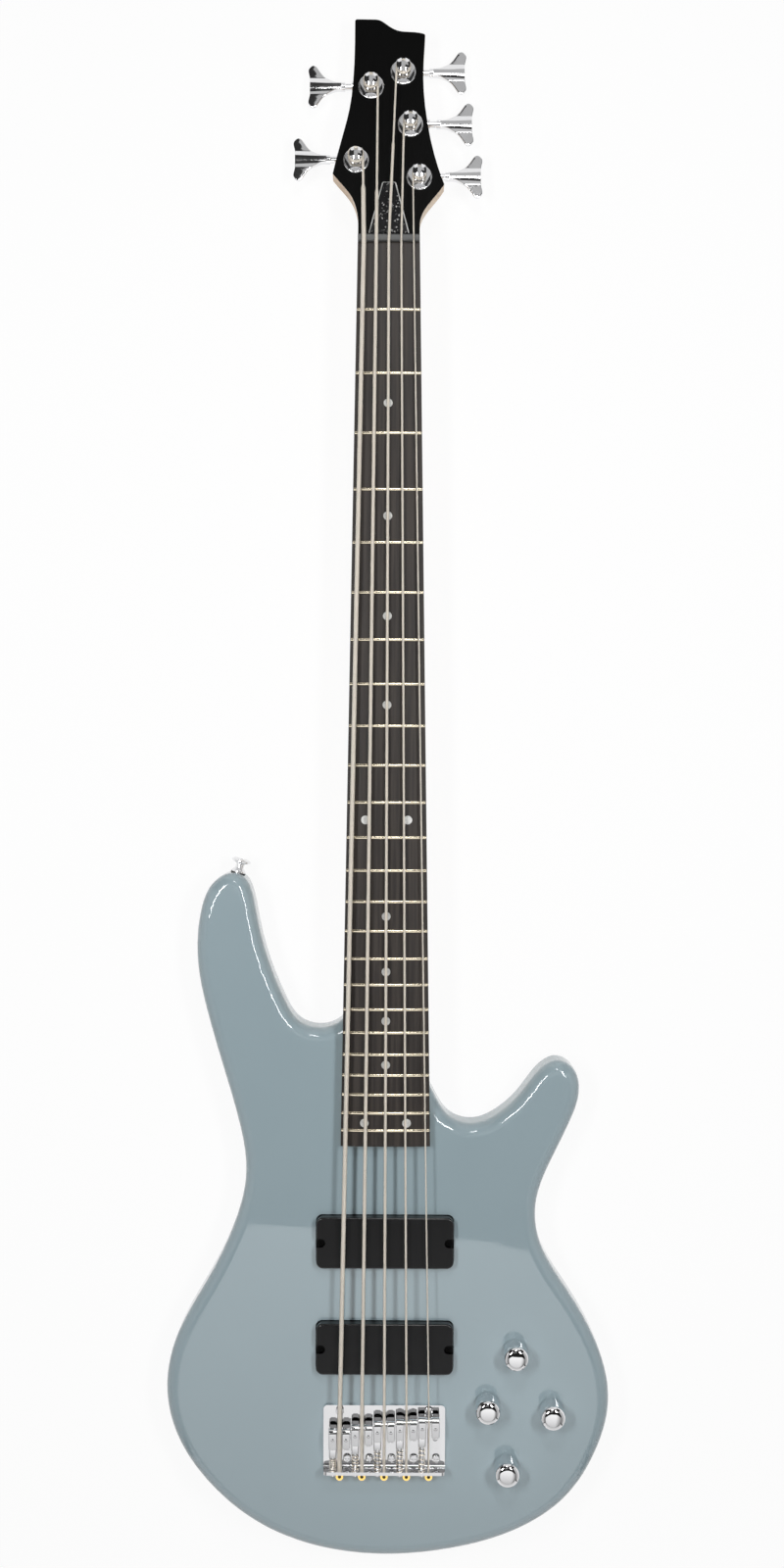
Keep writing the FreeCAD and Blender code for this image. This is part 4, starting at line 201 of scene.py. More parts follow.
class BassSizes(bpy.types.PropertyGroup):
    """Sizes of what the looks add to the solids."""

    crease: angle("Crease", "Edges sharper than this stay sharp", 32.0)
    flat: angle("Flat", "Faces that meet at less than this are one flat face", 0.5)
    merge: length("Merge", "Points of copied CAD pieces closer than this become one", 0.000002)
    weld: length("Weld", "Points of new pieces closer than this become one", 0.00001)
    wrap_pitch: length("Wrap pitch", "Distance between the turns of wire on a string", 0.0007)
    wrap_depth: length("Wrap depth", "Depth of the groove between those turns", 0.00035)
    head_tilt: angle("Head tilt", "Lean of the headstock's face", 7.0)
    black_start: length("Black start", "How far the headstock's black reaches under the nut", 0.001)
    head_round: length("Screw head round", "Rounding of the bridge screws' heads", 0.0013)
    post_dome: length("Post dome", "Half width of the egg shape that domes a tuner's post", 0.013)
    post_reach: length("Post reach", "Half length of the egg shape that domes a tuner's post", 0.020)
    washer_round: length("Washer round", "Rounding of a tuner's washer", 0.0008)
    tail_width: length("Tail width", "Width and height of a saddle's tail", 0.0056)
    tail_length: length("Tail length", "Length of a saddle's tail", 0.009)
    tail_round: length("Tail round", "Rounding of a saddle's tail", 0.0007)
    knob_height: length("Knob height", "From a knob's foot to the top of its crown", 0.019)
    knob_radius: length("Knob radius", "Half of a knob's width", 0.0094)
    knob_edge: length("Knob edge", "Rounding between a knob's side and its crown", 0.0046)
    knob_crown: length("Knob crown", "Radius of a knob's shallow crown", 0.055)
    knob_recess: length("Knob recess", "Depth of the hollow under a knob", 0.0034)
    knob_recess_radius: length("Knob recess radius", "Half the width of the hollow under a knob", 0.0065)
    shaft_radius: length("Shaft radius", "Half the width of a knob's shaft", 0.003)


class BassStudio(bpy.types.PropertyGroup):
    """Camera, floor, air and the sheet of light."""

    camera_height: length("Camera height", "Height of the camera over the back of the body", 1.3475)
    camera_x: length("Camera across", "Place of the camera across the instrument", 0.00386)
    camera_y: length("Camera along", "Place of the camera along the instrument", 0.51404)
    camera_pitch: angle("Camera pitch", "Tilt of the camera towards the bridge", 1.895)
    camera_roll: angle("Camera roll", "Roll of the camera", -0.23)
    focal_pixels: amount("Focal length", "In pixels of the picture", 1815.94)
    floor_size: length("Floor", "Side of the floor", 12.0)
    floor_drop: length("Floor drop", "Gap between the instrument and the floor", 0.001)
    floor_glow: amount("Floor glow", "Share of the floor's white that takes no shadow", 0.92)
    air_light: amount("Air light", "Strength of the light from all round", 0.03)
    sheet_y: length("Sheet along", "Place of the sheet's middle along the instrument", -0.75)
    sheet_height: length("Sheet height", "Height of the sheet over the back of the body", 1.55)
    sheet_turn: angle("Sheet turn", "Turn of the sheet about the upright", -4.3)
    sheet_width: length("Sheet width", "Side of the sheet across the instrument", 2.2)
    sheet_depth: length("Sheet depth", "Side of the sheet along the instrument", 0.90)
    sheet_near: amount("Sheet near", "Radiance along the edge nearest to the instrument", 2.2)
    sheet_far: amount("Sheet far", "Radiance along the opposite edge", 0.9)
    sheet_side: amount("Sheet side", "Share of the radiance that is left at the sides", 0.35)
    fade_start: amount("Fade start", "Share of the width, off the middle, where the fading starts", 0.16)
    fade_end: amount("Fade end", "Share of the width, off the middle, where the fading ends", 0.25)


def finishes():
    return bpy.context.scene.bass_finishes


def sizes():
    return bpy.context.scene.bass_sizes


def studio():
    return bpy.context.scene.bass_studio


def head_way():
    """The way that the headstock's face looks."""
    tilt = sizes().head_tilt
    return Vector((0.0, math.sin(tilt), math.cos(tilt)))


def alone(piece):
    """Selects one object and makes it active."""
    bpy.ops.object.select_all(action="DESELECT")
    piece.select_set(True)
    bpy.context.view_layer.objects.active = piece


def discard(piece):
    alone(piece)
    bpy.ops.object.delete()


def copied(piece, name, shift):
    """A copy of a piece, with a mesh of its own that is moved by a shift."""
    twin = bpy.data.objects.new(name, piece.data.copy())
    twin.data.transform(Matrix.Translation(shift))
    bpy.context.collection.objects.link(twin)
    return twin


def stand_for(piece, node):
    """Lets a piece show in place of a CAD node, and ride on its body."""
    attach(piece, carrier[node])
    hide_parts(node)


def smooth_copy(node):
    """A smooth-shaded copy of a CAD node."""
    piece = bpy.data.objects.new(f"{node}_finish", frame["nodes"][node].data.copy())
    bpy.context.collection.objects.link(piece)
    alone(piece)
    bpy.ops.mesh.customdata_custom_splitnormals_clear()
    bpy.ops.object.mode_set(mode="EDIT")
    bpy.ops.mesh.select_all(action="SELECT")
    bpy.ops.mesh.remove_doubles(threshold=sizes().merge)
    bpy.ops.object.mode_set(mode="OBJECT")
    bpy.ops.object.shade_smooth_by_angle(angle=sizes().crease)
    piece.data.materials.clear()
    return piece


def dress(nodes, *materials):
    """Smooth copies that stand for CAD nodes, in one finish, or in several that faces are given later."""
    pieces = [smooth_copy(node) for node in nodes]
    for piece, node in zip(pieces, nodes):
        stand_for(piece, node)
        for material in materials:
            piece.data.materials.append(material)
    return pieces


def turned(name, outline):
    """A piece turned about the upright axis from the radius and height of each point of its outline."""
    bpy.ops.object.select_all(action="DESELECT")
    bpy.ops.mesh.primitive_plane_add(location=(0.0, 0.0, 0.0))
    piece = bpy.context.object
    piece.name = name
    bpy.ops.object.mode_set(mode="EDIT")
    bpy.ops.mesh.select_all(action="SELECT")
    bpy.ops.mesh.merge(type="CENTER")
    path = [Vector((radius, 0.0, height)) for radius, height in outline]
    bpy.ops.transform.translate(value=path[0])
    for here, there in zip(path, path[1:]):
        bpy.ops.mesh.extrude_region_move(TRANSFORM_OT_translate={"value": there - here})
    bpy.ops.mesh.select_all(action="SELECT")
    bpy.ops.mesh.spin(steps=TURN_STEPS, angle=math.tau, center=(0.0, 0.0, 0.0), axis=(0.0, 0.0, 1.0))
    bpy.ops.mesh.select_all(action="SELECT")
    bpy.ops.mesh.remove_doubles(threshold=sizes().weld)
    bpy.ops.mesh.normals_make_consistent(inside=False)
    bpy.ops.object.mode_set(mode="OBJECT")
    bpy.ops.object.shade_smooth_by_angle(angle=sizes().crease)
    return piece


def apart(piece):
    """Splits a piece into its loose parts."""
    alone(piece)
    bpy.ops.object.mode_set(mode="EDIT")
    bpy.ops.mesh.select_all(action="SELECT")
    bpy.ops.mesh.separate(type="LOOSE")
    bpy.ops.object.mode_set(mode="OBJECT")
    return list(bpy.context.selected_objects)


def box_of(piece):
    """Lowest and highest corner of the box about a piece."""
    lines = list(zip(*(vertex.co for vertex in piece.data.vertices)))
    return Vector([min(line) for line in lines]), Vector([max(line) for line in lines])


def end_level(piece, way):
    """How far along a way the points lie, at the least, that make the end of a piece."""
    return max(vertex.co.dot(way) for vertex in piece.data.vertices) - sizes().weld


def end_points(piece, way):
    """The points at the end that a piece turns towards a way."""
    level = end_level(piece, way)
    return [vertex.co for vertex in piece.data.vertices if vertex.co.dot(way) > level]


def middle_of(points):
    """Middle of the box about points."""
    return Vector([(min(line) + max(line)) / 2 for line in zip(*points)])


def round_head(part, way, width):
    """Rounds the rim of the end that a part turns towards a way."""
    alone(part)
    bpy.ops.object.mode_set(mode="EDIT")
    bpy.ops.mesh.select_all(action="SELECT")
    bpy.ops.mesh.dissolve_limited(angle_limit=sizes().flat)
    bpy.ops.mesh.select_all(action="DESELECT")
    bpy.ops.object.mode_set(mode="OBJECT")
    level = end_level(part, way)
    end = end_points(part, way)
    middle = middle_of(end)
    reach = max((point - middle).length for point in end) * RIM_SHARE
    for edge in part.data.edges:
        first, last = (part.data.vertices[index].co for index in edge.vertices)
        on_end = min(first.dot(way), last.dot(way)) > level
        edge.select = on_end and ((first + last) / 2 - middle).length > reach
    bpy.ops.object.mode_set(mode="EDIT")
    bpy.ops.mesh.bevel(offset=width, segments=HEAD_STEPS, affect="EDGES", clamp_overlap=True)
    bpy.ops.object.mode_set(mode="OBJECT")
    bpy.ops.object.shade_smooth_by_angle(angle=sizes().crease)


def round_heads(piece, way, width):
    """Rounds that end of each loose part of a piece."""
    parts = apart(piece)
    for part in parts:
        round_head(part, way, width)
    for part in parts:
        part.select_set(True)
    bpy.context.view_layer.objects.active = piece
    bpy.ops.object.join()


def dome_end(piece, way, radius, reach):
    """Domes the end that a piece turns towards a way, by keeping what lies inside an egg shape."""
    place = middle_of(end_points(piece, way)) - way * reach
    turn = way.to_track_quat("Z", "Y").to_euler()
    bpy.ops.object.select_all(action="DESELECT")
    bpy.ops.mesh.primitive_uv_sphere_add(segments=EGG_STEPS, ring_count=EGG_STEPS, radius=1.0,
                                         location=place, rotation=turn, scale=(radius, radius, reach))
    egg = bpy.context.object
    alone(piece)
    modifier = piece.modifiers.new("dome", "BOOLEAN")
    modifier.operation = "INTERSECT"
    modifier.solver = "EXACT"
    modifier.object = egg
    bpy.ops.object.modifier_apply(modifier=modifier.name)
    bpy.ops.object.shade_smooth_by_angle(angle=sizes().crease)
    discard(egg)


def weigh_normals(piece):
    """Lets large flat faces lead the shading where they meet a roundover."""
    alone(piece)
    modifier = piece.modifiers.new("weighted_normals", "WEIGHTED_NORMAL")
    modifier.keep_sharp = True
    modifier.weight = FLAT_WEIGHT
    bpy.ops.object.modifier_apply(modifier=modifier.name)


def note_upward(piece):
    """Keeps on a piece how far each corner of its faces looks up."""
    layer = piece.data.attributes.new(UPWARD, "FLOAT", "CORNER")
    for corner, normal in zip(layer.data, piece.data.corner_normals):
        corner.value = normal.vector.z


def paint_faces(piece, index, wanted):
    """Gives the faces for which wanted(centre, normal) holds the material at an index."""
    for face in piece.data.polygons:
        if wanted(face.center, face.normal):
            face.material_index = index


def finish(name, base, sockets):
    """A material with one shader, its base colour and other constant values set on it."""
    material = bpy.data.materials.new(name)
    material.use_nodes = True
    shader = material.node_tree.nodes["Principled BSDF"]
    shader.inputs["Base Color"].default_value = (*base, 1.0)
    for socket, value in sockets.items():
        shader.inputs[socket].default_value = value
    return material


def add_node(material, kind, **settings):
    node = material.node_tree.nodes.new(kind)
    for setting, value in settings.items():
        setattr(node, setting, value)
    return node


def to_shader(material, value, socket):
    shader = material.node_tree.nodes["Principled BSDF"]
    material.node_tree.links.new(value, shader.inputs[socket])


def noise(material, scale, grain=1.0, detail=4.0):
    """Noise on the piece's own coordinates, with a share of its scale along the instrument as the grain."""
    place = add_node(material, "ShaderNodeTexCoord")
    mapping = add_node(material, "ShaderNodeMapping")
    mapping.inputs["Scale"].default_value = (1.0, grain, 1.0)
    texture = add_node(material, "ShaderNodeTexNoise")
    texture.inputs["Scale"].default_value = scale
    texture.inputs["Detail"].default_value = detail
    links = material.node_tree.links
    links.new(place.outputs["Object"], mapping.inputs["Vector"])
    links.new(mapping.outputs["Vector"], texture.inputs["Vector"])
    return texture.outputs["Fac"]


def between_limits(material, value, limits, results):
    """Turns a value between two limits into one between two results."""
    node = add_node(material, "ShaderNodeMapRange")
    node.inputs["From Min"].default_value, node.inputs["From Max"].default_value = limits
    node.inputs["To Min"].default_value, node.inputs["To Max"].default_value = results
    material.node_tree.links.new(value, node.inputs["Value"])
    return node.outputs["Result"]


def tint(material, value, stops):
    """Lets a value move the base colour between stops."""
    node = add_node(material, "ShaderNodeValToRGB")
    elements = node.color_ramp.elements
    while len(elements) < len(stops):
        elements.new(1.0)
    for element, (position, tone) in zip(elements, stops):
        element.position = position
        element.color = (*tone, 1.0)
    material.node_tree.links.new(value, node.inputs["Fac"])
    to_shader(material, node.outputs["Color"], "Base Color")


def roughen(material, value, low, high, socket="Roughness"):
    """Gives a noise the low roughness at its low limit and the high one at its high limit."""
    to_shader(material, between_limits(material, value, NOISE_LIMITS, (low, high)), socket)


def add_bump(material, height, depth):
    bump = add_node(material, "ShaderNodeBump")
    bump.inputs["Distance"].default_value = depth
    material.node_tree.links.new(height, bump.inputs["Height"])
    to_shader(material, bump.outputs["Normal"], "Normal")
    return bump.outputs["Normal"]


def lacquer():
    """A solid colour under polished clear coat, with the faint waviness of sprayed lacquer."""
    material = finish("grey_blue_lacquer", finishes().lacquer, {
        "Roughness": 0.45, "Specular IOR Level": 0.25, "Coat Weight": 1.0, "Coat IOR": 1.5})
    cloud = noise(material, scale=14.0, detail=3.0)
    tint(material, cloud, [(0.3, finishes().lacquer_deep), (0.7, finishes().lacquer)])
    roughen(material, noise(material, scale=30.0), low=0.012, high=0.035, socket="Coat Roughness")
    waves = add_bump(material, noise(material, scale=700.0, detail=1.0), depth=0.0000012)
    to_shader(material, waves, "Coat Normal")
    return material


def maple():
    """Satin wood with streaks and fine pores along the neck."""
    material = finish("satin_maple", finishes().maple, {"Coat Weight": 0.25, "Coat Roughness": 0.25})
    streaks = noise(material, scale=60.0, grain=0.06, detail=6.0)
    tint(material, streaks, [(0.30, finishes().maple_vein), (0.62, finishes().maple)])
    roughen(material, streaks, low=0.46, high=0.34)
    add_bump(material, noise(material, scale=900.0, grain=0.05, detail=3.0), depth=0.00002)
    return material


def deep_black(name):
    """Matt black with the faintest trace of the pores under it."""
    material = finish(name, finishes().head_black, {"Specular IOR Level": 0.05})
    pores = noise(material, scale=800.0, grain=0.08)
    roughen(material, pores, low=0.36, high=0.50)
    add_bump(material, pores, depth=0.00001)
    return material


def dark_board():
    """Oiled dark wood with close grain along the board."""
    material = finish("dark_board", finishes().board, {"Specular IOR Level": 0.34})
    streaks = noise(material, scale=420.0, grain=0.03, detail=8.0)
    tint(material, streaks, [(0.40, finishes().board), (0.62, finishes().board_vein)])
    roughen(material, streaks, low=0.38, high=0.50)
    add_bump(material, noise(material, scale=1500.0, grain=0.03, detail=3.0), depth=0.00004)
    return material


def chrome(name, low, high):
    """Bright plating with the faint smears that hands leave."""
    material = finish(name, finishes().chrome, {"Metallic": 1.0})
    roughen(material, noise(material, scale=160.0), low, high)
    return material


def shade_topped_chrome(name, low, high):
    """Plating painted darker on the faces that look up: painted shade that dims the reflection of the light
    overhead.
    """
    material = chrome(name, low, high)
    upward = add_node(material, "ShaderNodeAttribute", attribute_name=UPWARD)
    stops = [(TOP_SHADE_START, finishes().chrome), (TOP_SHADE_FULL, finishes().chrome_top_shade)]
    tint(material, upward.outputs["Fac"], stops)
    return material


def metal(name, base, low, high, metallic=1.0):
    """Plain metal with fine uneven wear."""
    material = finish(name, base, {"Metallic": metallic})
    roughen(material, noise(material, scale=600.0), low, high)
    return material


def wrap_wire():
    """Round wire wound close about the string: fine turns along its length."""
    material = metal("wrap_wire", finishes().wrap_wire, low=0.26, high=0.36, metallic=0.05)
    place = add_node(material, "ShaderNodeTexCoord")
    wave = add_node(material, "ShaderNodeTexWave", bands_direction="Y")
    wave.inputs["Scale"].default_value = math.tau / WAVE_RATE / sizes().wrap_pitch
    material.node_tree.links.new(place.outputs["Object"], wave.inputs["Vector"])
    add_bump(material, wave.outputs["Fac"], depth=sizes().wrap_depth)
    return material


def black_satin():
    """Fine-grained black plastic."""
    material = finish("black_satin", finishes().black_plastic, {"Specular IOR Level": 0.2})
    roughen(material, noise(material, scale=90.0), low=0.34, high=0.46)
    add_bump(material, noise(material, scale=4000.0), depth=0.00001)
    return material


def black_gloss():
    """Polished edges of black plastic, with fine scuffs."""
    material = finish("black_gloss", finishes().head_black, {"Specular IOR Level": 0.5})
    roughen(material, noise(material, scale=700.0), low=0.10, high=0.22)
    return material


def black_pearl():
    """Black plastic with pale flakes of pearl in it."""
    material = finish("black_pearl", finishes().head_black, {
        "Roughness": 0.12, "Specular IOR Level": 0.15, "Coat Weight": 0.2, "Coat Roughness": 0.03})
    place = add_node(material, "ShaderNodeTexCoord")
    cells = add_node(material, "ShaderNodeTexVoronoi")
    cells.inputs["Scale"].default_value = 900.0
    material.node_tree.links.new(place.outputs["Object"], cells.inputs["Vector"])
    tones = finishes()
    stops = [(0.74, tones.flake_ground), (0.80, tones.flake_edge), (0.88, tones.flake)]
    tint(material, cells.outputs["Color"], stops)
    return material


def white_ply():
    """The pale layer that shows at the bevel of the truss rod's cover."""
    material = finish("white_ply", finishes().pearl, {})
    roughen(material, noise(material, scale=900.0), low=0.3, high=0.5)
    return material


def pearl():
    """Polished shell with a soft swirl."""
    material = finish("pearl", finishes().pearl, {
        "Roughness": 0.2, "Coat Weight": 0.6, "Coat Roughness": 0.05})
    swirl = noise(material, scale=500.0)
    tint(material, swirl, [(0.35, finishes().pearl_shade), (0.60, finishes().pearl)])
    return material


def nut_black():
    """Dull dark grey plastic."""
    material = finish("nut_black", finishes().nut_black, {"Specular IOR Level": 0.3})
    roughen(material, noise(material, scale=1200.0), low=0.28, high=0.42)
    return material


def felt():
    """Rough black fibres."""
    material = finish("felt", finishes().felt, {"Roughness": 0.95, "Sheen Weight": 0.3})
    add_bump(material, noise(material, scale=6000.0), depth=0.0002)
    return material


class BASS_OT_body(bpy.types.Operator):
    """The lacquered body with its back cover and the bolts of the neck."""

    bl_idname = "bass.body"
    bl_label = "Body"

    def execute(self, context):
        body = dress(["body"], lacquer())[0]
        weigh_normals(body)
        dress(["control_cover", "cover_screws"], black_satin())
        dress(["neck_ferrules", "neck_screws"], chrome("ferrule_chrome", low=0.03, high=0.07))
        return {"FINISHED"}


class BASS_OT_neck(bpy.types.Operator):
    """The maple neck, its black headstock face, the board, frets, dots, nut and truss rod."""

    bl_idname = "bass.neck"
    bl_label = "Neck"

    def execute(self, context):
        face_way = head_way()
        black_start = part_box("nut")[1].y - sizes().black_start

        def on_head_face(centre, normal):
            return centre.y > black_start and normal.dot(face_way) > HEAD_FACING

        def on_cover_bevel(centre, normal):
            low, high = BEVEL_FACING
            return low < normal.dot(face_way) < high and normal.y > FOOT_FACING

        neck = dress(["neck"], maple(), deep_black("headstock_black"))[0]
        weigh_normals(neck)
        paint_faces(neck, index=1, wanted=on_head_face)
        dress(["fretboard"], dark_board())
        dress(["frets"], metal("fret_wire", finishes().fret_wire, low=0.12, high=0.22))
        dress(["position_dots"], pearl())
        dress(["nut"], nut_black())
        dress(["truss_rod"], metal("rod_steel", finishes().steel, low=0.25, high=0.35))
        cover = dress(["truss_rod_cover"], black_pearl(), white_ply())[0]
        paint_faces(cover, index=1, wanted=on_cover_bevel)
        return {"FINISHED"}


class BASS_OT_strings(bpy.types.Operator):
    """The wound strings and their ball ends."""

    bl_idname = "bass.strings"
    bl_label = "Strings"

    def execute(self, context):
        dress([f"string_{name}" for name in STRINGS], wrap_wire())
        dress(["string_ball_ends"], metal("ball_brass", finishes().brass, low=0.10, high=0.20))
        return {"FINISHED"}


class BASS_OT_tuners(bpy.types.Operator):
    """Housings, bushings, washers, posts and keys of the tuners."""

    bl_idname = "bass.tuners"
    bl_label = "Tuners"

    def execute(self, context):
        bright = chrome("tuner_chrome", low=0.05, high=0.10)
        dress(["tuner_housings", "tuner_bushings", "tuner_fixing_screws"], bright)
        round_heads(dress(["tuner_washers"], bright)[0], head_way(), sizes().washer_round)
        dress([f"tuner_key_{name}" for name in STRINGS], bright)
        for post in dress([f"tuner_post_{name}" for name in STRINGS], bright):
            dome_end(post, head_way(), sizes().post_dome, sizes().post_reach)
        return {"FINISHED"}


def tail_model(material):
    """A flat-topped block with rounded edges, at the origin."""
    size = sizes()
    bpy.ops.object.select_all(action="DESELECT")
    scale = (size.tail_width, size.tail_length, size.tail_width)
    bpy.ops.mesh.primitive_cube_add(size=1.0, location=(0.0, 0.0, 0.0), scale=scale)
    model = bpy.context.object
    bpy.ops.object.transform_apply(location=True, rotation=True, scale=True)
    bpy.ops.object.mode_set(mode="EDIT")
    bpy.ops.mesh.select_all(action="SELECT")
    bpy.ops.mesh.bevel(offset=size.tail_round, segments=TAIL_STEPS, affect="EDGES")
    bpy.ops.object.mode_set(mode="OBJECT")
    bpy.ops.object.shade_smooth_by_angle(angle=size.crease)
    model.data.materials.append(material)
    return model


def saddle_tails(material):
    """The tails behind the saddles, through which their long screws run, all copied from one model."""
    model = tail_model(material)
    tails = []
    for name in STRINGS:
        node = f"saddle_{name}"
        screw_low, screw_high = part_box(f"intonation_screw_{name}")
        place = (screw_low + screw_high) / 2
        place.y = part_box(node)[0].y + sizes().tail_length / 2
        tail = copied(model, f"{node}_tail", place)
        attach(tail, carrier[node])
        tails.append(tail)
    discard(model)
    return tails


def fit_springs(material):
    """The springs between the bridge's wall and the saddles, split into one piece for each string."""
    node = "intonation_springs"
    for spring in apart(smooth_copy(node)):
        low, high = box_of(spring)
        name = min(STRINGS, key=lambda string: abs(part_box(f"intonation_screw_{string}")[0].x - low.x))
        spring.name = f"intonation_spring_{name}_finish"
        spring.data.materials.append(material)
        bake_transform(spring)
        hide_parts(node)


class BASS_OT_bridge(bpy.types.Operator):
    """The bridge plate with its saddles, springs and screws."""

    bl_idname = "bass.bridge"
    bl_label = "Bridge"

    def execute(self, context):
        # Painted shade on the upward faces of the plate, screws, saddles and tails dims the light overhead
        # in them
        plate_chrome = shade_topped_chrome("bridge_chrome", low=0.05, high=0.10)
        plate, screws = dress(["bridge_plate", "bridge_screws"], plate_chrome)
        round_heads(screws, Vector((0.0, 0.0, 1.0)), sizes().head_round)
        saddle_chrome = shade_topped_chrome("saddle_chrome", low=0.04, high=0.08)
        saddles = dress([f"saddle_{name}" for name in STRINGS], saddle_chrome)
        for piece in (plate, screws, *saddles, *saddle_tails(saddle_chrome)):
            note_upward(piece)
        screw_steel = metal("screw_steel", finishes().steel, low=0.15, high=0.25)
        dress([f"intonation_screw_{name}" for name in STRINGS], screw_steel)
        fit_springs(metal("spring_wire", finishes().wrap_wire, low=0.15, high=0.25))
        return {"FINISHED"}


class BASS_OT_pickups(bpy.types.Operator):
    """Pickup covers with their screws and what they hide, and the leads."""

    bl_idname = "bass.pickups"
    bl_label = "Pickups"

    def execute(self, context):
        def on_edge(centre, normal):
            return normal.z < TOP_FACING

        covers = dress(["pickup_covers"], black_satin(), black_gloss())[0]
        paint_faces(covers, index=1, wanted=on_edge)
        dress(["pickup_screws"], deep_black("black_screw"))
        dress(["pickup_cores"], metal("coil_copper", finishes().brass, low=0.35, high=0.45))
        dress(["pickup_foam", "wiring"], felt())
        return {"FINISHED"}


def arc(centre, radius, first, last):
    """Points of radius and height on an arc, between two angles over the level."""
    steps = [first + (last - first) * step / ARC_STEPS for step in range(ARC_STEPS + 1)]
    return [(centre[0] + radius * math.cos(way), centre[1] + radius * math.sin(way)) for way in steps]


def knob_outline(low):
    """Shaft, hollow, side, rounded edge and crown of a knob, with heights counted from its top."""
    size = sizes()
    foot = -size.knob_height
    hollow = foot + size.knob_recess
    crown_middle = -size.knob_crown
    edge_radius = size.knob_radius - size.knob_edge
    edge_rise = math.sqrt((size.knob_crown - size.knob_edge) ** 2 - edge_radius ** 2)
    lean = math.atan2(edge_rise, edge_radius)
    below = [(0.0, low), (size.shaft_radius, low), (size.shaft_radius, hollow),
             (size.knob_recess_radius, hollow), (size.knob_recess_radius, foot), (size.knob_radius, foot)]
    edge = arc((edge_radius, crown_middle + edge_rise), size.knob_edge, 0.0, lean)
    crown = arc((0.0, crown_middle), size.knob_crown, lean, math.pi / 2)
    return below + edge + crown[1:]


def turn_knobs(material):
    """The knobs, all copied from one that is turned."""
    knob_boxes = {f"knob_{number}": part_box(f"knob_{number}") for number in KNOBS}
    model = turned("knob_model", knob_outline(min(low.z - high.z for low, high in knob_boxes.values())))
    model.data.materials.append(material)
    note_upward(model)
    for node, (low, high) in knob_boxes.items():
        top = (low + high) / 2
        top.z = high.z
        stand_for(copied(model, f"{node}_finish", top), node)
    discard(model)


class BASS_OT_controls(bpy.types.Operator):
    """Knobs, pots, jack and strap button."""

    bl_idname = "bass.controls"
    bl_label = "Controls"

    def execute(self, context):
        # Painted shade on the knobs' upward faces dims the light overhead in their crowns
        turn_knobs(shade_topped_chrome("knob_chrome", low=0.015, high=0.035))
        dress(["pots", "control_nuts"], metal("pot_steel", finishes().steel, low=0.2, high=0.3))
        button_chrome = chrome("button_chrome", low=0.20, high=0.30)
        dress(["output_jack", "strap_button", "strap_button_screw"], button_chrome)
        dress(["strap_button_felt"], felt())
        return {"FINISHED"}


def pale_floor():
    """White for the camera and in reflections, with a little of the object's shadow."""
    material = finish("pale_floor", finishes().floor, {"Roughness": 0.9, "Specular IOR Level": 0.0})
    links = material.node_tree.links
    nodes = material.node_tree.nodes
    path = add_node(material, "ShaderNodeLightPath")
    mirrored = add_node(material, "ShaderNodeMath", operation="MAXIMUM")
    seen = add_node(material, "ShaderNodeMath", operation="MAXIMUM")
    part = add_node(material, "ShaderNodeMath", operation="MULTIPLY")
    part.inputs[1].default_value = studio().floor_glow
    glow = add_node(material, "ShaderNodeEmission")
    mix = add_node(material, "ShaderNodeMixShader")
    links.new(path.outputs["Is Glossy Ray"], mirrored.inputs[0])
    links.new(path.outputs["Is Transmission Ray"], mirrored.inputs[1])
    links.new(path.outputs["Is Camera Ray"], seen.inputs[0])
    links.new(mirrored.outputs[0], seen.inputs[1])
    links.new(seen.outputs[0], part.inputs[0])
    links.new(part.outputs[0], mix.inputs[0])
    links.new(nodes["Principled BSDF"].outputs[0], mix.inputs[1])
    links.new(glow.outputs[0], mix.inputs[2])
    links.new(mix.outputs[0], nodes["Material Output"].inputs["Surface"])
    return material


def lay_floor():
    """A wide floor just under the instrument."""
    room = studio()
    middle = (cad_box[0] + cad_box[1]) / 2
    place = (middle.x, middle.y, cad_box[0].z - room.floor_drop)
    bpy.ops.object.select_all(action="DESELECT")
    bpy.ops.mesh.primitive_plane_add(size=room.floor_size, location=place)
    floor = bpy.context.object
    floor.name = "floor"
    floor.data.materials.append(pale_floor())


def sheet_glow(name):
    """Light that grows towards the sheet's near edge and fades at its sides."""
    room = studio()
    material = bpy.data.materials.new(name)
    material.use_nodes = True
    links = material.node_tree.links
    place = add_node(material, "ShaderNodeTexCoord")
    split = add_node(material, "ShaderNodeSeparateXYZ")
    links.new(place.outputs["Object"], split.inputs[0])
    edges = (-0.5, 0.5)
    along = between_limits(material, split.outputs["Y"], edges, (room.sheet_far, room.sheet_near))
    off_middle = add_node(material, "ShaderNodeMath", operation="ABSOLUTE")
    links.new(split.outputs["X"], off_middle.inputs[0])
    fade = (room.fade_start, room.fade_end)
    across = between_limits(material, off_middle.outputs[0], fade, (1.0, room.sheet_side))
    strength = add_node(material, "ShaderNodeMath", operation="MULTIPLY")
    glow = add_node(material, "ShaderNodeEmission")
    links.new(along, strength.inputs[0])
    links.new(across, strength.inputs[1])
    links.new(strength.outputs[0], glow.inputs["Strength"])
    links.new(glow.outputs[0], material.node_tree.nodes["Material Output"].inputs["Surface"])
    return material


def hang_sheet(name):
    """A level sheet of soft light, high up beyond the bridge end of the instrument."""
    room = studio()
    bpy.ops.object.select_all(action="DESELECT")
    bpy.ops.mesh.primitive_plane_add(size=1.0, location=(0.0, room.sheet_y, room.sheet_height),
                                     rotation=(0.0, 0.0, room.sheet_turn))
    sheet = bpy.context.object
    sheet.name = name
    sheet.scale = (room.sheet_width, room.sheet_depth, 1.0)
    sheet.data.materials.append(sheet_glow(name))
    sheet.visible_camera = False


def hang_panel(name, place, target, width, depth, radiance, card):
    """A soft rectangular lamp at a place, facing a target, or a card that shows only in reflections."""
    bpy.ops.object.select_all(action="DESELECT")
    bpy.ops.object.light_add(type="AREA", location=place)
    panel = bpy.context.object
    panel.name = name
    panel.data.shape = "RECTANGLE"
    panel.data.size = width
    panel.data.size_y = depth
    panel.data.energy = radiance * math.pi * width * depth
    way = Vector(target) - Vector(place)
    panel.rotation_euler = way.to_track_quat("-Z", "Y").to_euler()
    panel.visible_camera = False
    panel.visible_diffuse = not card


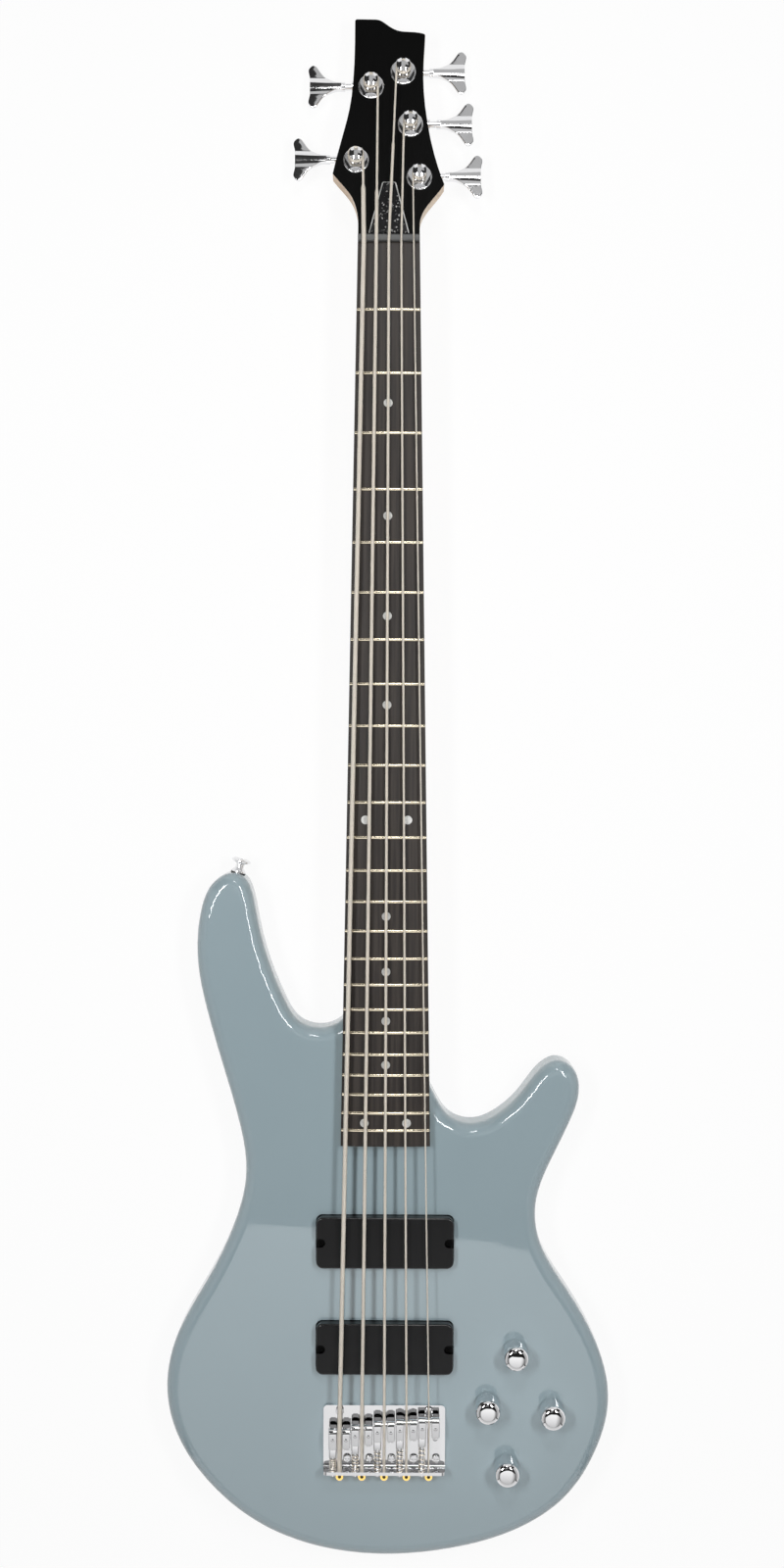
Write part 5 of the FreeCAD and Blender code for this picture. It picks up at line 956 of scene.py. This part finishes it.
def studio_air():
    """White behind the edge of the floor, and close to dark for what it lights."""
    world = bpy.data.worlds.new("studio_air")
    world.use_nodes = True
    links = world.node_tree.links
    background = world.node_tree.nodes["Background"]
    background.inputs["Color"].default_value = WHITE
    path = add_node(world, "ShaderNodeLightPath")
    seen = add_node(world, "ShaderNodeMath", operation="MAXIMUM")
    links.new(path.outputs["Is Camera Ray"], seen.inputs[0])
    links.new(path.outputs["Is Transmission Ray"], seen.inputs[1])
    strength = between_limits(world, seen.outputs[0], (0.0, 1.0), (studio().air_light, 1.0))
    links.new(strength, background.inputs["Strength"])
    return world


def front_camera():
    """The camera over the front of the instrument."""
    room = studio()
    lens = bpy.data.cameras.new("front_camera")
    lens.sensor_fit = "VERTICAL"
    lens.sensor_height = SENSOR_HEIGHT
    lens.lens = room.focal_pixels / PICTURE_HEIGHT * SENSOR_HEIGHT
    camera = bpy.data.objects.new("front_camera", lens)
    bpy.context.collection.objects.link(camera)
    turn = Matrix.Rotation(room.camera_roll, 4, "Z") @ Matrix.Rotation(room.camera_pitch, 4, "X")
    place = Matrix.Translation((room.camera_x, room.camera_y, room.camera_height))
    camera.matrix_world = place @ turn.transposed()
    return camera


class BASS_OT_stage(bpy.types.Operator):
    """Floor, soft light and the camera over the front of the instrument."""

    bl_idname = "bass.stage"
    bl_label = "Stage"

    def execute(self, context):
        lay_floor()
        hang_sheet("low_softbox")
        for name, values in CARDS.items():
            hang_panel(name, **values, card=True)
        for name, values in LAMPS.items():
            hang_panel(name, **values, card=False)
        context.scene.world = studio_air()
        context.scene.camera = front_camera()
        context.scene.view_settings.view_transform = "Standard"
        return {"FINISHED"}


class BASS_PT_panel(bpy.types.Panel):
    """The pieces of the bass, in the order they are dressed."""

    bl_idname = "BASS_PT_panel"
    bl_label = "Electric Bass"
    bl_space_type = "VIEW_3D"
    bl_region_type = "UI"
    bl_category = "Bass"

    def draw(self, context):
        for operator in OPERATORS:
            self.layout.operator(operator.bl_idname)


GROUPS = (BassFinishes, BassSizes, BassStudio)
OPERATORS = (BASS_OT_body, BASS_OT_neck, BASS_OT_strings, BASS_OT_tuners, BASS_OT_bridge, BASS_OT_pickups,
             BASS_OT_controls, BASS_OT_stage)
CLASSES = (*GROUPS, *OPERATORS, BASS_PT_panel)


def register():
    for kind in CLASSES:
        bpy.utils.register_class(kind)
    bpy.types.Scene.bass_finishes = PointerProperty(type=BassFinishes)
    bpy.types.Scene.bass_sizes = PointerProperty(type=BassSizes)
    bpy.types.Scene.bass_studio = PointerProperty(type=BassStudio)


def unregister():
    del bpy.types.Scene.bass_studio
    del bpy.types.Scene.bass_sizes
    del bpy.types.Scene.bass_finishes
    for kind in reversed(CLASSES):
        bpy.utils.unregister_class(kind)


def main():
    register()
    bpy.ops.bass.body()
    bpy.ops.bass.neck()
    bpy.ops.bass.strings()
    bpy.ops.bass.tuners()
    bpy.ops.bass.bridge()
    bpy.ops.bass.pickups()
    bpy.ops.bass.controls()
    bpy.ops.bass.stage()


if __name__ == "__main__":
    main()
